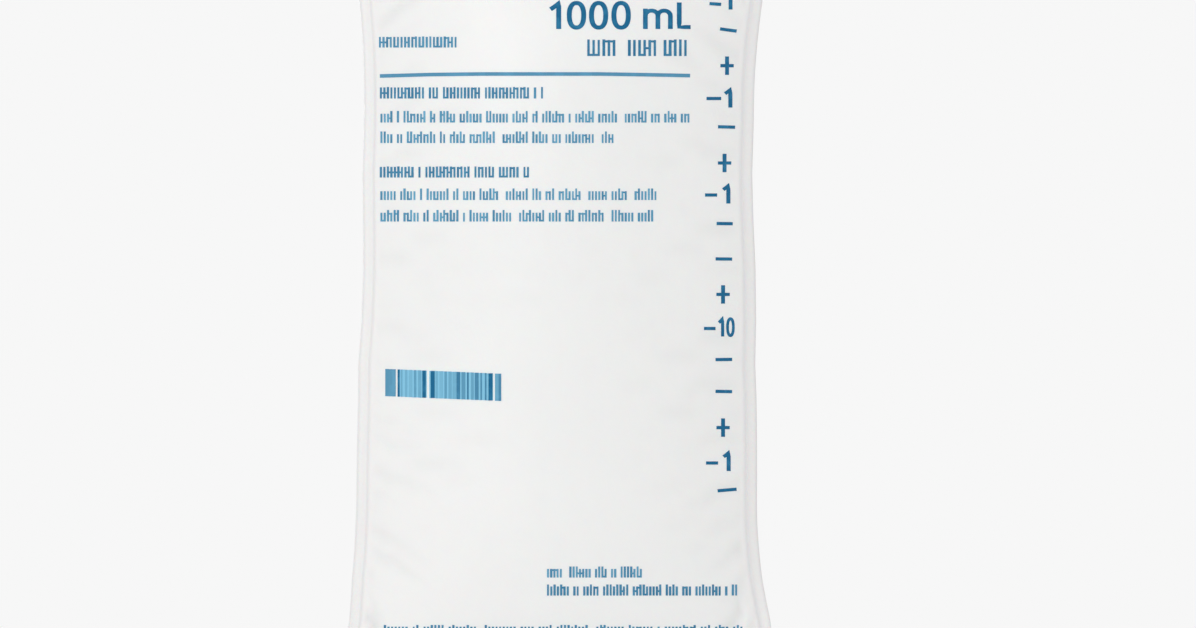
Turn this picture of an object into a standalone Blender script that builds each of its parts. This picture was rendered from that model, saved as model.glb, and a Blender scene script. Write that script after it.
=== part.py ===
"""One-litre IV fluid bag, filled and hanging from its header slot.

Metres, +Z up, front film facing -Y. The origin is the middle of the hanging slot's upper edge.
Two films are welded all round and filled, so the cross-section is a pair of arcs whose length is
the film's flat width. The sides therefore draw in where the bag is deep and spread at the welds.
"""
import math

import bmesh
import bpy

# Film, welds and outline
FILM_WIDTH = 0.140
FILM_THICKNESS = 0.0004
SIDE_WELD = 0.004
BOTTOM_WELD = 0.009
FILL_LENGTH = 0.266
HEADER_HEIGHT = 0.032
TOP_CORNER = 0.010
BOTTOM_CORNER = 0.012
FILL_CORNER = 0.014

# Hanging slot
SLOT_LENGTH = 0.026
SLOT_HEIGHT = 0.008
SLOT_BELOW_EDGE = 0.009

# How far each film stands out when the bag is full
UPPER_SWELL = 0.027
LOWER_SWELL = 0.024
FULLEST_BELOW_TOP_WELD = 0.097
TOP_EASE = 0.075
BOTTOM_EASE = 0.060
EASE_POWER = 0.55
PUCKER_DEPTH = 0.0011
PUCKER_PITCH = 0.0235
PUCKER_REACH = 0.026

# Port tubes and their film sleeves
OUTLET_X = -0.017
ADDITIVE_X = 0.017
TUBE_RADIUS = 0.0045
TUBE_IN_FLUID = 0.005
SLEEVE_WALL = 0.0009
SLEEVE_REACH = 0.0125
SLEEVE_IN_FLUID = 0.010
SLEEVE_BELOW_WELD = 0.0004
FIT_GAP = 0.0003

# Outlet port
OUTLET_LENGTH = 0.032
GUARD_DROP = 0.010
GUARD_RADIUS = 0.0080
GUARD_THICKNESS = 0.0018
SOCKET_RADIUS = 0.0033
SOCKET_DEPTH = 0.0135
FLUID_BORE_RADIUS = 0.0023
MEMBRANE_RIM = 0.0020
MEMBRANE_WEB = 0.0008
MEMBRANE_RIM_WIDTH = 0.0009

# Pull-off cap
CAP_WALL = 0.0013
CAP_END_SPACE = 0.0020
CAP_END_WALL = 0.0030
CAP_TAPER = 0.0004
CAP_MOUTH_LIP = 0.0009
CAP_LIP_HEIGHT = 0.0020
GRIP_RIBS = 10
GRIP_RIB_WIDTH = 0.0010
GRIP_RIB_HEIGHT = 0.0007
GRIP_RIB_LENGTH = 0.0120
TAB_WIDTH = 0.0165
TAB_DROP = 0.0150
TAB_SHOULDER = 0.0060
TAB_THICKNESS = 0.0018
TAB_CORNER = 0.0040
TAB_ROOT = 0.0016
TAB_RIB_LENGTH = 0.0100
TAB_RIB_WIDTH = 0.0010
TAB_RIB_PITCH = 0.0026
TAB_RIB_PROUD = 0.0006
TAB_RIBS = 3

# Additive port with its rubber plug and retaining ring
NECK_LENGTH = 0.0070
CONE_LENGTH = 0.0040
CUP_RADIUS = 0.0062
CUP_LENGTH = 0.0120
CUP_WALL = 0.0010
CUP_FLOOR = 0.0012
ADDITIVE_BORE_RADIUS = 0.0026
PLUG_DOME_RADIUS = 0.0032
PLUG_DOME_HEIGHT = 0.0013
RING_WALL = 0.0011
RING_LIP = 0.0012
RING_LENGTH = 0.0085
RING_GROOVE = 0.0004
RING_GROOVES = 3
WINDOW_GAP = 0.0004

# Smoothness
COLUMNS = 28
FILL_ROWS = 34
TURN_STEPS = 28
PLUG_STEPS = 20

HEADER_TOP = SLOT_BELOW_EDGE
FILL_TOP = HEADER_TOP - HEADER_HEIGHT
FILL_BOTTOM = FILL_TOP - FILL_LENGTH
BAG_BOTTOM = FILL_BOTTOM - BOTTOM_WELD
SOCKET_TOP = FILL_BOTTOM + TUBE_IN_FLUID + FIT_GAP


def make_collection(name):
    """Return a new collection linked to the scene."""
    made = bpy.data.collections.new(name)
    bpy.context.scene.collection.children.link(made)
    return made


def make_material(name, colour, roughness, metallic=0.0):
    """Return a Principled material."""
    made = bpy.data.materials.new(name)
    made.use_nodes = True
    shader = made.node_tree.nodes["Principled BSDF"]
    shader.inputs["Base Color"].default_value = (*colour, 1.0)
    shader.inputs["Roughness"].default_value = roughness
    shader.inputs["Metallic"].default_value = metallic
    return made


def add_object(name, mesh, where, material=None):
    """Link a mesh object into a collection."""
    made = bpy.data.objects.new(name, mesh)
    where.objects.link(made)
    if material is not None:
        mesh.materials.append(material)
    return made


def add_cutter(name, mesh, where):
    """Link a helper solid that only serves a Boolean."""
    made = add_object(name, mesh, where)
    made.hide_render = True
    made.display_type = "WIRE"
    return made


def boolean(target, tool, operation):
    """Join a helper solid to the target, or cut it out of it."""
    modifier = target.modifiers.new(operation.title() + " " + tool.name, "BOOLEAN")
    modifier.operation = operation
    modifier.solver = "EXACT"
    modifier.object = tool


def shade(obj, degrees=35.0):
    """Shade a round piece smooth and keep its real edges sharp."""
    obj.data.shade_smooth()
    obj.data.set_sharp_from_angle(angle=math.radians(degrees))


def smooth_step(value):
    """Return a soft 0 to 1 ramp."""
    value = min(max(value, 0.0), 1.0)
    return value * value * (3.0 - 2.0 * value)


def end_ease(distance, reach):
    """Return how far the film has opened at a distance from an end weld."""
    share = min(max(distance / reach, 0.0), 1.0)
    return (1.0 - (1.0 - share) ** 2) ** EASE_POWER


def swell_at(height):
    """Return how far the film stands out on the centre line at a height."""
    if height >= FILL_TOP or height <= FILL_BOTTOM:
        return 0.0
    fullest = FILL_TOP - FULLEST_BELOW_TOP_WELD
    lowest = FILL_BOTTOM + BOTTOM_EASE
    blend = smooth_step((height - lowest) / (fullest - lowest))
    swell = LOWER_SWELL + (UPPER_SWELL - LOWER_SWELL) * blend
    swell *= end_ease(FILL_TOP - height, TOP_EASE)
    return swell * end_ease(height - FILL_BOTTOM, BOTTOM_EASE)


def half_chord(swell):
    """Return half the width between side welds, from the film's fixed arc length."""
    spread = max(FILM_WIDTH ** 2 - 32.0 / 3.0 * swell ** 2, 0.0)
    return (FILM_WIDTH + math.sqrt(spread)) / 4.0


def corner_loss(distance, radius):
    """Return how much a rounded corner takes off the half width at a distance from the end."""
    if distance >= radius:
        return 0.0
    inside = radius - max(distance, 0.0)
    return radius - math.sqrt(max(radius ** 2 - inside ** 2, 0.0))


def outer_half_width(height):
    """Return half the bag's outline width, weld included."""
    width = half_chord(swell_at(height)) + SIDE_WELD
    width -= corner_loss(HEADER_TOP - height, TOP_CORNER)
    return width - corner_loss(height - BAG_BOTTOM, BOTTOM_CORNER)


def inner_half_width(height):
    """Return half the width of the part that holds fluid."""
    nearest_end = min(FILL_TOP - height, height - FILL_BOTTOM)
    if nearest_end < 0.0:
        return outer_half_width(height) - SIDE_WELD
    loss = corner_loss(nearest_end, FILL_CORNER)
    return half_chord(swell_at(height)) - loss


def puckers(x, height):
    """Return the film's small gathers, which fade away from the end welds."""
    from_end = min(FILL_TOP - height, height - FILL_BOTTOM)
    fade = math.exp(-from_end / PUCKER_REACH) * smooth_step(from_end / (0.4 * PUCKER_REACH))
    return PUCKER_DEPTH * fade * math.cos(2.0 * math.pi * x / PUCKER_PITCH)


def film_depth(x, height):
    """Return the film's distance from the bag's middle plane."""
    swell = swell_at(height)
    edge = inner_half_width(height)
    if swell <= 0.0 or abs(x) >= edge:
        return FILM_THICKNESS
    radius = (edge ** 2 + swell ** 2) / (2.0 * swell)
    arc = math.sqrt(radius ** 2 - x ** 2) - (radius - swell)
    across = smooth_step(2.5 * (1.0 - abs(x) / edge))
    return FILM_THICKNESS + max(arc + puckers(x, height) * across, 0.0)


def row_heights():
    """Return the heights of the film's rows, from the header's top edge down."""
    turns = [0.0, 20.0, 42.0, 66.0, 90.0]
    drops = [1.0 - math.cos(math.radians(turn)) for turn in turns]
    rows = [HEADER_TOP - TOP_CORNER * drop for drop in drops]
    rows.append((rows[-1] + FILL_TOP) / 2.0)
    for index in range(FILL_ROWS + 1):
        share = (1.0 - math.cos(math.pi * index / FILL_ROWS)) / 2.0
        rows.append(FILL_TOP - FILL_LENGTH * share)
    lower = [BAG_BOTTOM + BOTTOM_CORNER * drop for drop in drops]
    lower = [height for height in lower if height < FILL_BOTTOM - 0.0005]
    return rows + sorted(lower, reverse=True)


def column_positions(height):
    """Return the x of each column at a height: weld edge, fluid, weld edge."""
    outer = outer_half_width(height)
    inner = inner_half_width(height)
    wide = math.radians(62.0)
    places = [-outer]
    for index in range(COLUMNS + 1):
        share = 2.0 * index / COLUMNS - 1.0
        places.append(inner * math.sin(wide * share) / math.sin(wide))
    places.append(outer)
    return places


def bag_mesh():
    """Return the front film as a grid whose rim turns back to the middle plane."""
    rows = row_heights()
    last_column = COLUMNS + 2
    last_row = len(rows) - 1
    bm = bmesh.new()
    bmesh.ops.create_grid(bm, x_segments=last_column, y_segments=last_row, size=1.0)
    for vert in bm.verts:
        column = round((vert.co.x + 1.0) / 2.0 * last_column)
        row = round((1.0 - vert.co.y) / 2.0 * last_row)
        height = rows[row]
        x = column_positions(height)[column]
        vert.co = (x, -film_depth(x, height), height)
    rim = [edge for edge in bm.edges if edge.is_boundary]
    turned_back = bmesh.ops.extrude_edge_only(bm, edges=rim)["geom"]
    for item in turned_back:
        if isinstance(item, bmesh.types.BMVert):
            item.co.y = 0.0
    bmesh.ops.recalc_face_normals(bm, faces=bm.faces)
    front = max(bm.faces, key=lambda face: -face.calc_center_median().y)
    if front.normal.y > 0.0:
        bmesh.ops.reverse_faces(bm, faces=bm.faces)
    mesh = bpy.data.meshes.new("bag")
    bm.to_mesh(mesh)
    bm.free()
    return mesh


def outline_prism(name, points, thickness, axis):
    """Return a closed mesh: a flat outline extruded to a thickness along Y or Z."""
    curve = bpy.data.curves.new(name, "CURVE")
    curve.dimensions = "2D"
    curve.fill_mode = "BOTH"
    curve.extrude = thickness / 2.0
    spline = curve.splines.new("POLY")
    spline.points.add(len(points) - 1)
    for point, (across, along) in zip(spline.points, points):
        point.co = (across, along, 0.0, 1.0)
    spline.use_cyclic_u = True
    guide = bpy.data.objects.new(name + "_outline", curve)
    bpy.context.scene.collection.objects.link(guide)
    bpy.context.view_layer.update()
    mesh = bpy.data.meshes.new_from_object(guide.evaluated_get(bpy.context.evaluated_depsgraph_get()))
    bpy.data.objects.remove(guide)
    bm = bmesh.new()
    bm.from_mesh(mesh)
    bmesh.ops.remove_doubles(bm, verts=bm.verts, dist=0.000005)
    if axis == "Y":
        for vert in bm.verts:
            vert.co = (vert.co.x, -vert.co.z, vert.co.y)
    bmesh.ops.recalc_face_normals(bm, faces=bm.faces)
    if bm.calc_volume(signed=True) < 0.0:
        bmesh.ops.reverse_faces(bm, faces=bm.faces)
    bm.to_mesh(mesh)
    bm.free()
    mesh.name = name
    return mesh


def arc_points(centre, radius, start, end, count):
    """Return points along an arc, in degrees."""
    points = []
    for index in range(count + 1):
        angle = math.radians(start + (end - start) * index / count)
        points.append((centre[0] + radius * math.cos(angle), centre[1] + radius * math.sin(angle)))
    return points


def curved_side(x_low, z_low, x_high, z_high, count):
    """Return an S-shaped side that runs up from one width to another."""
    points = []
    for index in range(count + 1):
        share = index / count
        x = x_low + (x_high - x_low) * smooth_step(share)
        points.append((x, z_low + (z_high - z_low) * share))
    return points


def slot_mesh():
    """Return the punch for the hanging slot."""
    radius = SLOT_HEIGHT / 2.0
    half = SLOT_LENGTH / 2.0 - radius
    points = arc_points((half, -radius), radius, -90.0, 90.0, 12)
    points += arc_points((-half, -radius), radius, 90.0, 270.0, 12)
    return outline_prism("slot_punch", points, 12.0 * FILM_THICKNESS, "Y")


def sleeve_half(offset):
    """Return the film sleeve's half thickness beside a tube."""
    radius = TUBE_RADIUS + FIT_GAP + SLEEVE_WALL
    leave = radius * 0.80
    side = math.sqrt(radius ** 2 - leave ** 2)
    if offset <= leave:
        return math.sqrt(radius ** 2 - offset ** 2)
    share = (offset - leave) / (SLEEVE_REACH - leave)
    low = FILM_THICKNESS / 2.0
    return low + (side - low) * (1.0 - share) ** 2.0


def sleeve_mesh(name, x):
    """Return the welded film sleeve round a tube, faired into the bottom weld."""
    count = 18
    offsets = [SLEEVE_REACH * math.sin(math.pi / 2.0 * (2.0 * i / count - 1.0)) for i in range(count + 1)]
    upper = [(x + offset, sleeve_half(abs(offset))) for offset in offsets]
    lower = [(x + offset, -sleeve_half(abs(offset))) for offset in reversed(offsets)]
    low = BAG_BOTTOM - SLEEVE_BELOW_WELD
    high = FILL_BOTTOM + SLEEVE_IN_FLUID
    mesh = outline_prism(name, upper + lower, high - low, "Z")
    for vert in mesh.vertices:
        vert.co.z += (high + low) / 2.0
    return mesh


def bore_mesh(name, x, radius, low, high):
    """Return an upright cylinder for a bore."""
    bm = bmesh.new()
    bmesh.ops.create_cone(
        bm, cap_ends=True, segments=TURN_STEPS, radius1=radius, radius2=radius, depth=high - low
    )
    bmesh.ops.translate(bm, verts=bm.verts, vec=(x, 0.0, (high + low) / 2.0))
    mesh = bpy.data.meshes.new(name)
    bm.to_mesh(mesh)
    bm.free()
    return mesh


def filleted(corners, closed, cuts=2):
    """Return a profile whose corners (radius, height, fillet) are rounded."""
    count = len(corners)
    points = []
    for index, (r, z, fillet) in enumerate(corners):
        at_end = not closed and index in (0, count - 1)
        if at_end or fillet <= 0.0:
            points.append((r, z))
            continue
        before = corners[index - 1]
        after = corners[(index + 1) % count]
        to_before = (before[0] - r, before[1] - z)
        to_after = (after[0] - r, after[1] - z)
        reach = min(fillet, 0.45 * math.hypot(*to_before), 0.45 * math.hypot(*to_after))
        one = reach / math.hypot(*to_before)
        two = reach / math.hypot(*to_after)
        start = (r + to_before[0] * one, z + to_before[1] * one)
        end = (r + to_after[0] * two, z + to_after[1] * two)
        for cut in range(cuts + 1):
            t = cut / cuts
            a, b, c = (1.0 - t) ** 2, 2.0 * t * (1.0 - t), t ** 2
            points.append((a * start[0] + b * r + c * end[0], a * start[1] + b * z + c * end[1]))
    return points


def turned(name, corners, closed, steps, x, where, material):
    """Add a turned piece: a profile swept round the tube's axis at x."""
    points = filleted(corners, closed)
    mesh = bpy.data.meshes.new(name)
    edges = [(i, i + 1) for i in range(len(points) - 1)]
    if closed:
        edges.append((len(points) - 1, 0))
    mesh.from_pydata([(r, 0.0, z) for r, z in points], edges, [])
    obj = add_object(name, mesh, where, material)
    obj.location.x = x
    screw = obj.modifiers.new("Turn", "SCREW")
    screw.axis = "Z"
    screw.angle = math.tau
    screw.steps = steps
    screw.render_steps = steps
    screw.use_merge_vertices = True
    screw.merge_threshold = 0.00001
    screw.use_smooth_shade = True
    return obj


def build_bag(parts, cutters, film):
    """Add the filled bag: films, header, slot and port sleeves."""
    bag = add_object("bag", bag_mesh(), parts, film)
    mirror = bag.modifiers.new("Back film", "MIRROR")
    mirror.use_axis = (False, True, False)
    mirror.use_mirror_merge = True
    mirror.merge_threshold = 0.00001
    for name, x in (("outlet", OUTLET_X), ("additive", ADDITIVE_X)):
        sleeve = add_cutter(name + "_sleeve", sleeve_mesh(name + "_sleeve", x), cutters)
        boolean(bag, sleeve, "UNION")
    for name, x in (("outlet", OUTLET_X), ("additive", ADDITIVE_X)):
        low = BAG_BOTTOM - SLEEVE_BELOW_WELD - 2.0 * FIT_GAP
        bore = bore_mesh(name + "_bore", x, TUBE_RADIUS + FIT_GAP, low, SOCKET_TOP)
        boolean(bag, add_cutter(name + "_bore", bore, cutters), "DIFFERENCE")
    boolean(bag, add_cutter("slot_punch", slot_mesh(), cutters), "DIFFERENCE")
    shade(bag, 40.0)
    return bag


def build_outlet(parts, port_plastic, membrane_plastic):
    """Add the outlet port and its membrane insert."""
    top = SOCKET_TOP - FIT_GAP
    end = BAG_BOTTOM - OUTLET_LENGTH
    guard_top = BAG_BOTTOM - GUARD_DROP
    guard_low = guard_top - GUARD_THICKNESS
    step = end + SOCKET_DEPTH
    turned(
        "outlet_port",
        [
            (TUBE_RADIUS, top, 0.0004),
            (TUBE_RADIUS, guard_top, 0.0006),
            (GUARD_RADIUS, guard_top, 0.0006),
            (GUARD_RADIUS, guard_low, 0.0006),
            (TUBE_RADIUS, guard_low, 0.0004),
            (TUBE_RADIUS, end, 0.0005),
            (SOCKET_RADIUS, end, 0.0004),
            (SOCKET_RADIUS, step, 0.0),
            (FLUID_BORE_RADIUS, step, 0.0),
            (FLUID_BORE_RADIUS, top, 0.0004),
        ],
        True, TURN_STEPS, OUTLET_X, parts, port_plastic,
    )
    rim_top = step - FIT_GAP
    rim_low = rim_top - MEMBRANE_RIM
    outer = SOCKET_RADIUS - FIT_GAP
    inner = outer - MEMBRANE_RIM_WIDTH
    dip = (MEMBRANE_RIM - MEMBRANE_WEB) / 2.0
    turned(
        "outlet_membrane",
        [
            (0.0, rim_top - dip, 0.0),
            (inner, rim_top - dip, 0.0003),
            (inner, rim_top, 0.0002),
            (outer, rim_top, 0.0002),
            (outer, rim_low, 0.0002),
            (inner, rim_low, 0.0002),
            (inner, rim_low + dip, 0.0003),
            (0.0, rim_low + dip, 0.0),
        ],
        False, PLUG_STEPS, OUTLET_X, parts, membrane_plastic,
    )


def cap_grip_mesh(radius, middle):
    """Return the ribs round the cap's side as one mesh of separate bars."""
    bm = bmesh.new()
    for index in range(GRIP_RIBS):
        angle = math.tau * (index + 0.5) / GRIP_RIBS
        made = bmesh.ops.create_cube(bm, size=1.0)["verts"]
        bmesh.ops.scale(bm, verts=made, vec=(2.0 * GRIP_RIB_HEIGHT, GRIP_RIB_WIDTH, GRIP_RIB_LENGTH))
        for vert in made:
            low = vert.co.z < 0.0
            vert.co.x += radius - (CAP_TAPER if low else 0.0)
            vert.co.z += middle
            across = vert.co.y
            along = vert.co.x
            vert.co.x = OUTLET_X + along * math.cos(angle) - across * math.sin(angle)
            vert.co.y = along * math.sin(angle) + across * math.cos(angle)
    mesh = bpy.data.meshes.new("cap_grip")
    bm.to_mesh(mesh)
    bm.free()
    return mesh


def tab_ribs_mesh(middle):
    """Return the pull tab's raised bars, which run through it."""
    bm = bmesh.new()
    for index in range(TAB_RIBS):
        offset = (index - (TAB_RIBS - 1) / 2.0) * TAB_RIB_PITCH
        made = bmesh.ops.create_cube(bm, size=1.0)["verts"]
        proud = TAB_THICKNESS + 2.0 * TAB_RIB_PROUD
        bmesh.ops.scale(bm, verts=made, vec=(TAB_RIB_LENGTH, proud, TAB_RIB_WIDTH))
        bmesh.ops.translate(bm, verts=made, vec=(OUTLET_X, 0.0, middle + offset))
    mesh = bpy.data.meshes.new("tab_ribs")
    bm.to_mesh(mesh)
    bm.free()
    return mesh


def build_cap(parts, cutters, cap_plastic):
    """Add the outlet port's pull-off cap with its grip and tab."""
    mouth = BAG_BOTTOM - GUARD_DROP - GUARD_THICKNESS - FIT_GAP
    hollow_end = BAG_BOTTOM - OUTLET_LENGTH - CAP_END_SPACE
    end = hollow_end - CAP_END_WALL
    inner = TUBE_RADIUS + FIT_GAP
    outer = inner + CAP_WALL
    lip = outer + CAP_MOUTH_LIP
    cap = turned(
        "outlet_cap",
        [
            (0.0, hollow_end, 0.0),
            (inner, hollow_end, 0.0008),
            (inner, mouth, 0.0002),
            (lip, mouth, 0.0004),
            (lip, mouth - CAP_LIP_HEIGHT, 0.0004),
            (outer, mouth - CAP_LIP_HEIGHT, 0.0003),
            (outer - CAP_TAPER, end, 0.0016),
            (0.0, end, 0.0),
        ],
        False, TURN_STEPS, OUTLET_X, parts, cap_plastic,
    )
    tab_low = end - TAB_DROP
    left = OUTLET_X - TAB_WIDTH / 2.0
    right = OUTLET_X + TAB_WIDTH / 2.0
    neck = outer - CAP_TAPER - FIT_GAP
    outline = arc_points((right - TAB_CORNER, tab_low + TAB_CORNER), TAB_CORNER, 270.0, 360.0, 6)
    outline += curved_side(right, end - TAB_SHOULDER, OUTLET_X + neck, end + TAB_ROOT, 5)
    outline += curved_side(left, end - TAB_SHOULDER, OUTLET_X - neck, end + TAB_ROOT, 5)[::-1]
    outline += arc_points((left + TAB_CORNER, tab_low + TAB_CORNER), TAB_CORNER, 180.0, 270.0, 6)
    tab = add_cutter("cap_tab", outline_prism("cap_tab", outline, TAB_THICKNESS, "Y"), cutters)
    ribs_middle = tab_low + TAB_DROP * 0.45
    tab_ribs = add_cutter("tab_ribs", tab_ribs_mesh(ribs_middle), cutters)
    grip_middle = mouth - CAP_LIP_HEIGHT - 0.0008 - GRIP_RIB_LENGTH / 2.0
    grip = add_cutter("cap_grip", cap_grip_mesh(outer, grip_middle), cutters)
    boolean(cap, tab, "UNION")
    boolean(cap, tab_ribs, "UNION")
    boolean(cap, grip, "UNION")
    return cap


def build_additive(parts, port_plastic, rubber, ring_plastic):
    """Add the additive port, its rubber plug and its retaining ring."""
    top = SOCKET_TOP - FIT_GAP
    neck_end = BAG_BOTTOM - NECK_LENGTH
    cup_top = neck_end - CONE_LENGTH
    cup_end = cup_top - CUP_LENGTH
    well = cup_top - CUP_FLOOR
    cup_inner = CUP_RADIUS - CUP_WALL
    turned(
        "additive_port",
        [
            (TUBE_RADIUS, top, 0.0004),
            (TUBE_RADIUS, neck_end, 0.0010),
            (CUP_RADIUS, cup_top, 0.0010),
            (CUP_RADIUS, cup_end, 0.0002),
            (cup_inner, cup_end, 0.0002),
            (cup_inner, well, 0.0),
            (ADDITIVE_BORE_RADIUS, well, 0.0002),
            (ADDITIVE_BORE_RADIUS, top, 0.0004),
        ],
        True, TURN_STEPS, ADDITIVE_X, parts, port_plastic,
    )
    plug_radius = cup_inner - FIT_GAP
    turned(
        "additive_septum",
        [
            (0.0, well - FIT_GAP, 0.0),
            (plug_radius, well - FIT_GAP, 0.0004),
            (plug_radius, cup_end, 0.0002),
            (PLUG_DOME_RADIUS, cup_end, 0.0003),
            (PLUG_DOME_RADIUS, cup_end - PLUG_DOME_HEIGHT, 0.0006),
            (0.0, cup_end - PLUG_DOME_HEIGHT, 0.0),
        ],
        False, PLUG_STEPS, ADDITIVE_X, parts, rubber,
    )
    ring_inner = CUP_RADIUS + FIT_GAP
    ring_outer = ring_inner + RING_WALL
    lip_top = cup_end - FIT_GAP
    ring_end = lip_top - RING_LIP
    ring_top = ring_end + RING_LENGTH
    window = PLUG_DOME_RADIUS + WINDOW_GAP
    corners = [(ring_outer, ring_top, 0.0004)]
    pitch = (RING_LENGTH - RING_LIP) / (RING_GROOVES + 1.0)
    for index in range(RING_GROOVES):
        middle = ring_top - pitch * (index + 1.0)
        corners.append((ring_outer, middle + 0.25 * pitch, 0.0))
        corners.append((ring_outer - RING_GROOVE, middle + 0.12 * pitch, 0.0))
        corners.append((ring_outer - RING_GROOVE, middle - 0.12 * pitch, 0.0))
        corners.append((ring_outer, middle - 0.25 * pitch, 0.0))
    corners.append((ring_outer, ring_end, 0.0006))
    corners.append((window, ring_end, 0.0004))
    corners.append((window, lip_top, 0.0))
    corners.append((ring_inner, lip_top, 0.0))
    corners.append((ring_inner, ring_top, 0.0002))
    turned("additive_collar", corners, True, TURN_STEPS, ADDITIVE_X, parts, ring_plastic)


def main():
    """Build every piece of the bag."""
    for obj in list(bpy.data.objects):
        bpy.data.objects.remove(obj)
    parts = make_collection("iv_fluid_bag")
    cutters = make_collection("cutters")
    film = make_material("film", (0.87, 0.88, 0.87), 0.36)
    port_plastic = make_material("port_plastic", (0.80, 0.83, 0.84), 0.28)
    membrane_plastic = make_material("membrane_plastic", (0.74, 0.77, 0.78), 0.35)
    cap_plastic = make_material("cap_plastic", (0.03, 0.20, 0.36), 0.40)
    rubber = make_material("rubber", (0.42, 0.36, 0.28), 0.70)
    ring_plastic = make_material("ring_plastic", (0.85, 0.86, 0.86), 0.40)
    build_bag(parts, cutters, film)
    build_outlet(parts, port_plastic, membrane_plastic)
    build_cap(parts, cutters, cap_plastic)
    build_additive(parts, port_plastic, rubber, ring_plastic)


if __name__ == "__main__":
    main()
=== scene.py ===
"""Dressed scene of a filled one-litre IV fluid bag that hangs from its header slot.

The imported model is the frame: metres, +Z up, the printed front towards -Y, and the origin at the
middle of the hanging slot's upper edge. Print is laid out on the bag's middle plane, as the camera
sees it, and then laid on the film along the camera's lines of sight.
"""
import logging
import math
from collections.abc import Iterable
from dataclasses import dataclass
from enum import Enum

import bmesh
import bpy
import numpy as np
from bpy.types import ID, Material, Mesh, NodeSocket, NodeTree, Object, World
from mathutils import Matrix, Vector
from numpy import ndarray


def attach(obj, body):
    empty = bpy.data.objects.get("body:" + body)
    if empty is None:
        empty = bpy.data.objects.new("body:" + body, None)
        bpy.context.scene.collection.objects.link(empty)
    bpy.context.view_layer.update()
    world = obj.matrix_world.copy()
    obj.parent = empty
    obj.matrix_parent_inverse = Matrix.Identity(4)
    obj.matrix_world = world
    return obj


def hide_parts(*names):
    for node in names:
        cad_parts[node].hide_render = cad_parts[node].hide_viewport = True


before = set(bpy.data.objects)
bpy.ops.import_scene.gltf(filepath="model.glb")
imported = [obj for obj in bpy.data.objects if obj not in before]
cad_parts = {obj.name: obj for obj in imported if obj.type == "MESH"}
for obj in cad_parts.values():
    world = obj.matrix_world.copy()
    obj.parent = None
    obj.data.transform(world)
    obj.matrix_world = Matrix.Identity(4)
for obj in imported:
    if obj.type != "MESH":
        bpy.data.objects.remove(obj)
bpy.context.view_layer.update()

LOG = logging.getLogger("iv_fluid_bag")

# The ports' places across the bag, in metres
OUTLET_X = -0.017
ADDITIVE_X = 0.017
# A profile's point nearer to its axis than this lies on it, in metres
ON_AXIS = 1e-7
# The largest share of a profile's side that a fillet takes up
LONGEST_FILLET = 0.45
# The angle past which an edge of a turned or printed piece is shaded sharp, in degrees
SHARP_EDGE = 30.0
# A low arc of chord c and rise s is about c + SHALLOW_ARC * s ** 2 / c long
SHALLOW_ARC = 8.0 / 3.0
# The swell that stands for none in a division, in metres
LEAST_SWELL = 1e-9
# Steps round a nought, and the power that makes it fuller than an ellipse
OVAL_STEPS = 48
OVAL_POWER = 0.86
# Steps along the arch of a small m, and its rise as a share of its span
ARCH_STEPS = 18
ARCH_RISE = 0.42
# The thickness of the stroke boxes before they are laid on the film, in metres
THIN = 0.00001

Colour = tuple[float, float, float]
Place = tuple[float, float, float]
Point = tuple[float, float]
Corner = tuple[float, float, float]


# Nodes


@dataclass(eq=False)
class Signal:
    """One output socket that takes part in Python arithmetic.

    Attributes:
        graph: the node graph that the socket belongs to.
        socket: the output socket.
    """

    graph: "NodeGraph"
    socket: NodeSocket

    def __add__(self, other: object) -> "Signal":
        """Return self + other."""
        return self.graph.math("ADD", self, other)

    def __radd__(self, other: object) -> "Signal":
        """Return other + self."""
        return self.graph.math("ADD", other, self)

    def __sub__(self, other: object) -> "Signal":
        """Return self - other."""
        return self.graph.math("SUBTRACT", self, other)

    def __rsub__(self, other: object) -> "Signal":
        """Return other - self."""
        return self.graph.math("SUBTRACT", other, self)

    def __mul__(self, other: object) -> "Signal":
        """Return self * other."""
        return self.graph.math("MULTIPLY", self, other)

    def __rmul__(self, other: object) -> "Signal":
        """Return other * self."""
        return self.graph.math("MULTIPLY", other, self)

    def __mod__(self, other: object) -> "Signal":
        """Return self modulo other."""
        return self.graph.math("FLOORED_MODULO", self, other)

    def __lt__(self, other: object) -> "Signal":
        """Return 1 where self is less than other."""
        return self.graph.math("LESS_THAN", self, other)

    def out(self, name: str) -> "Signal":
        """Return another output of the same node."""
        return Signal(self.graph, self.socket.node.outputs[name])


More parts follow.
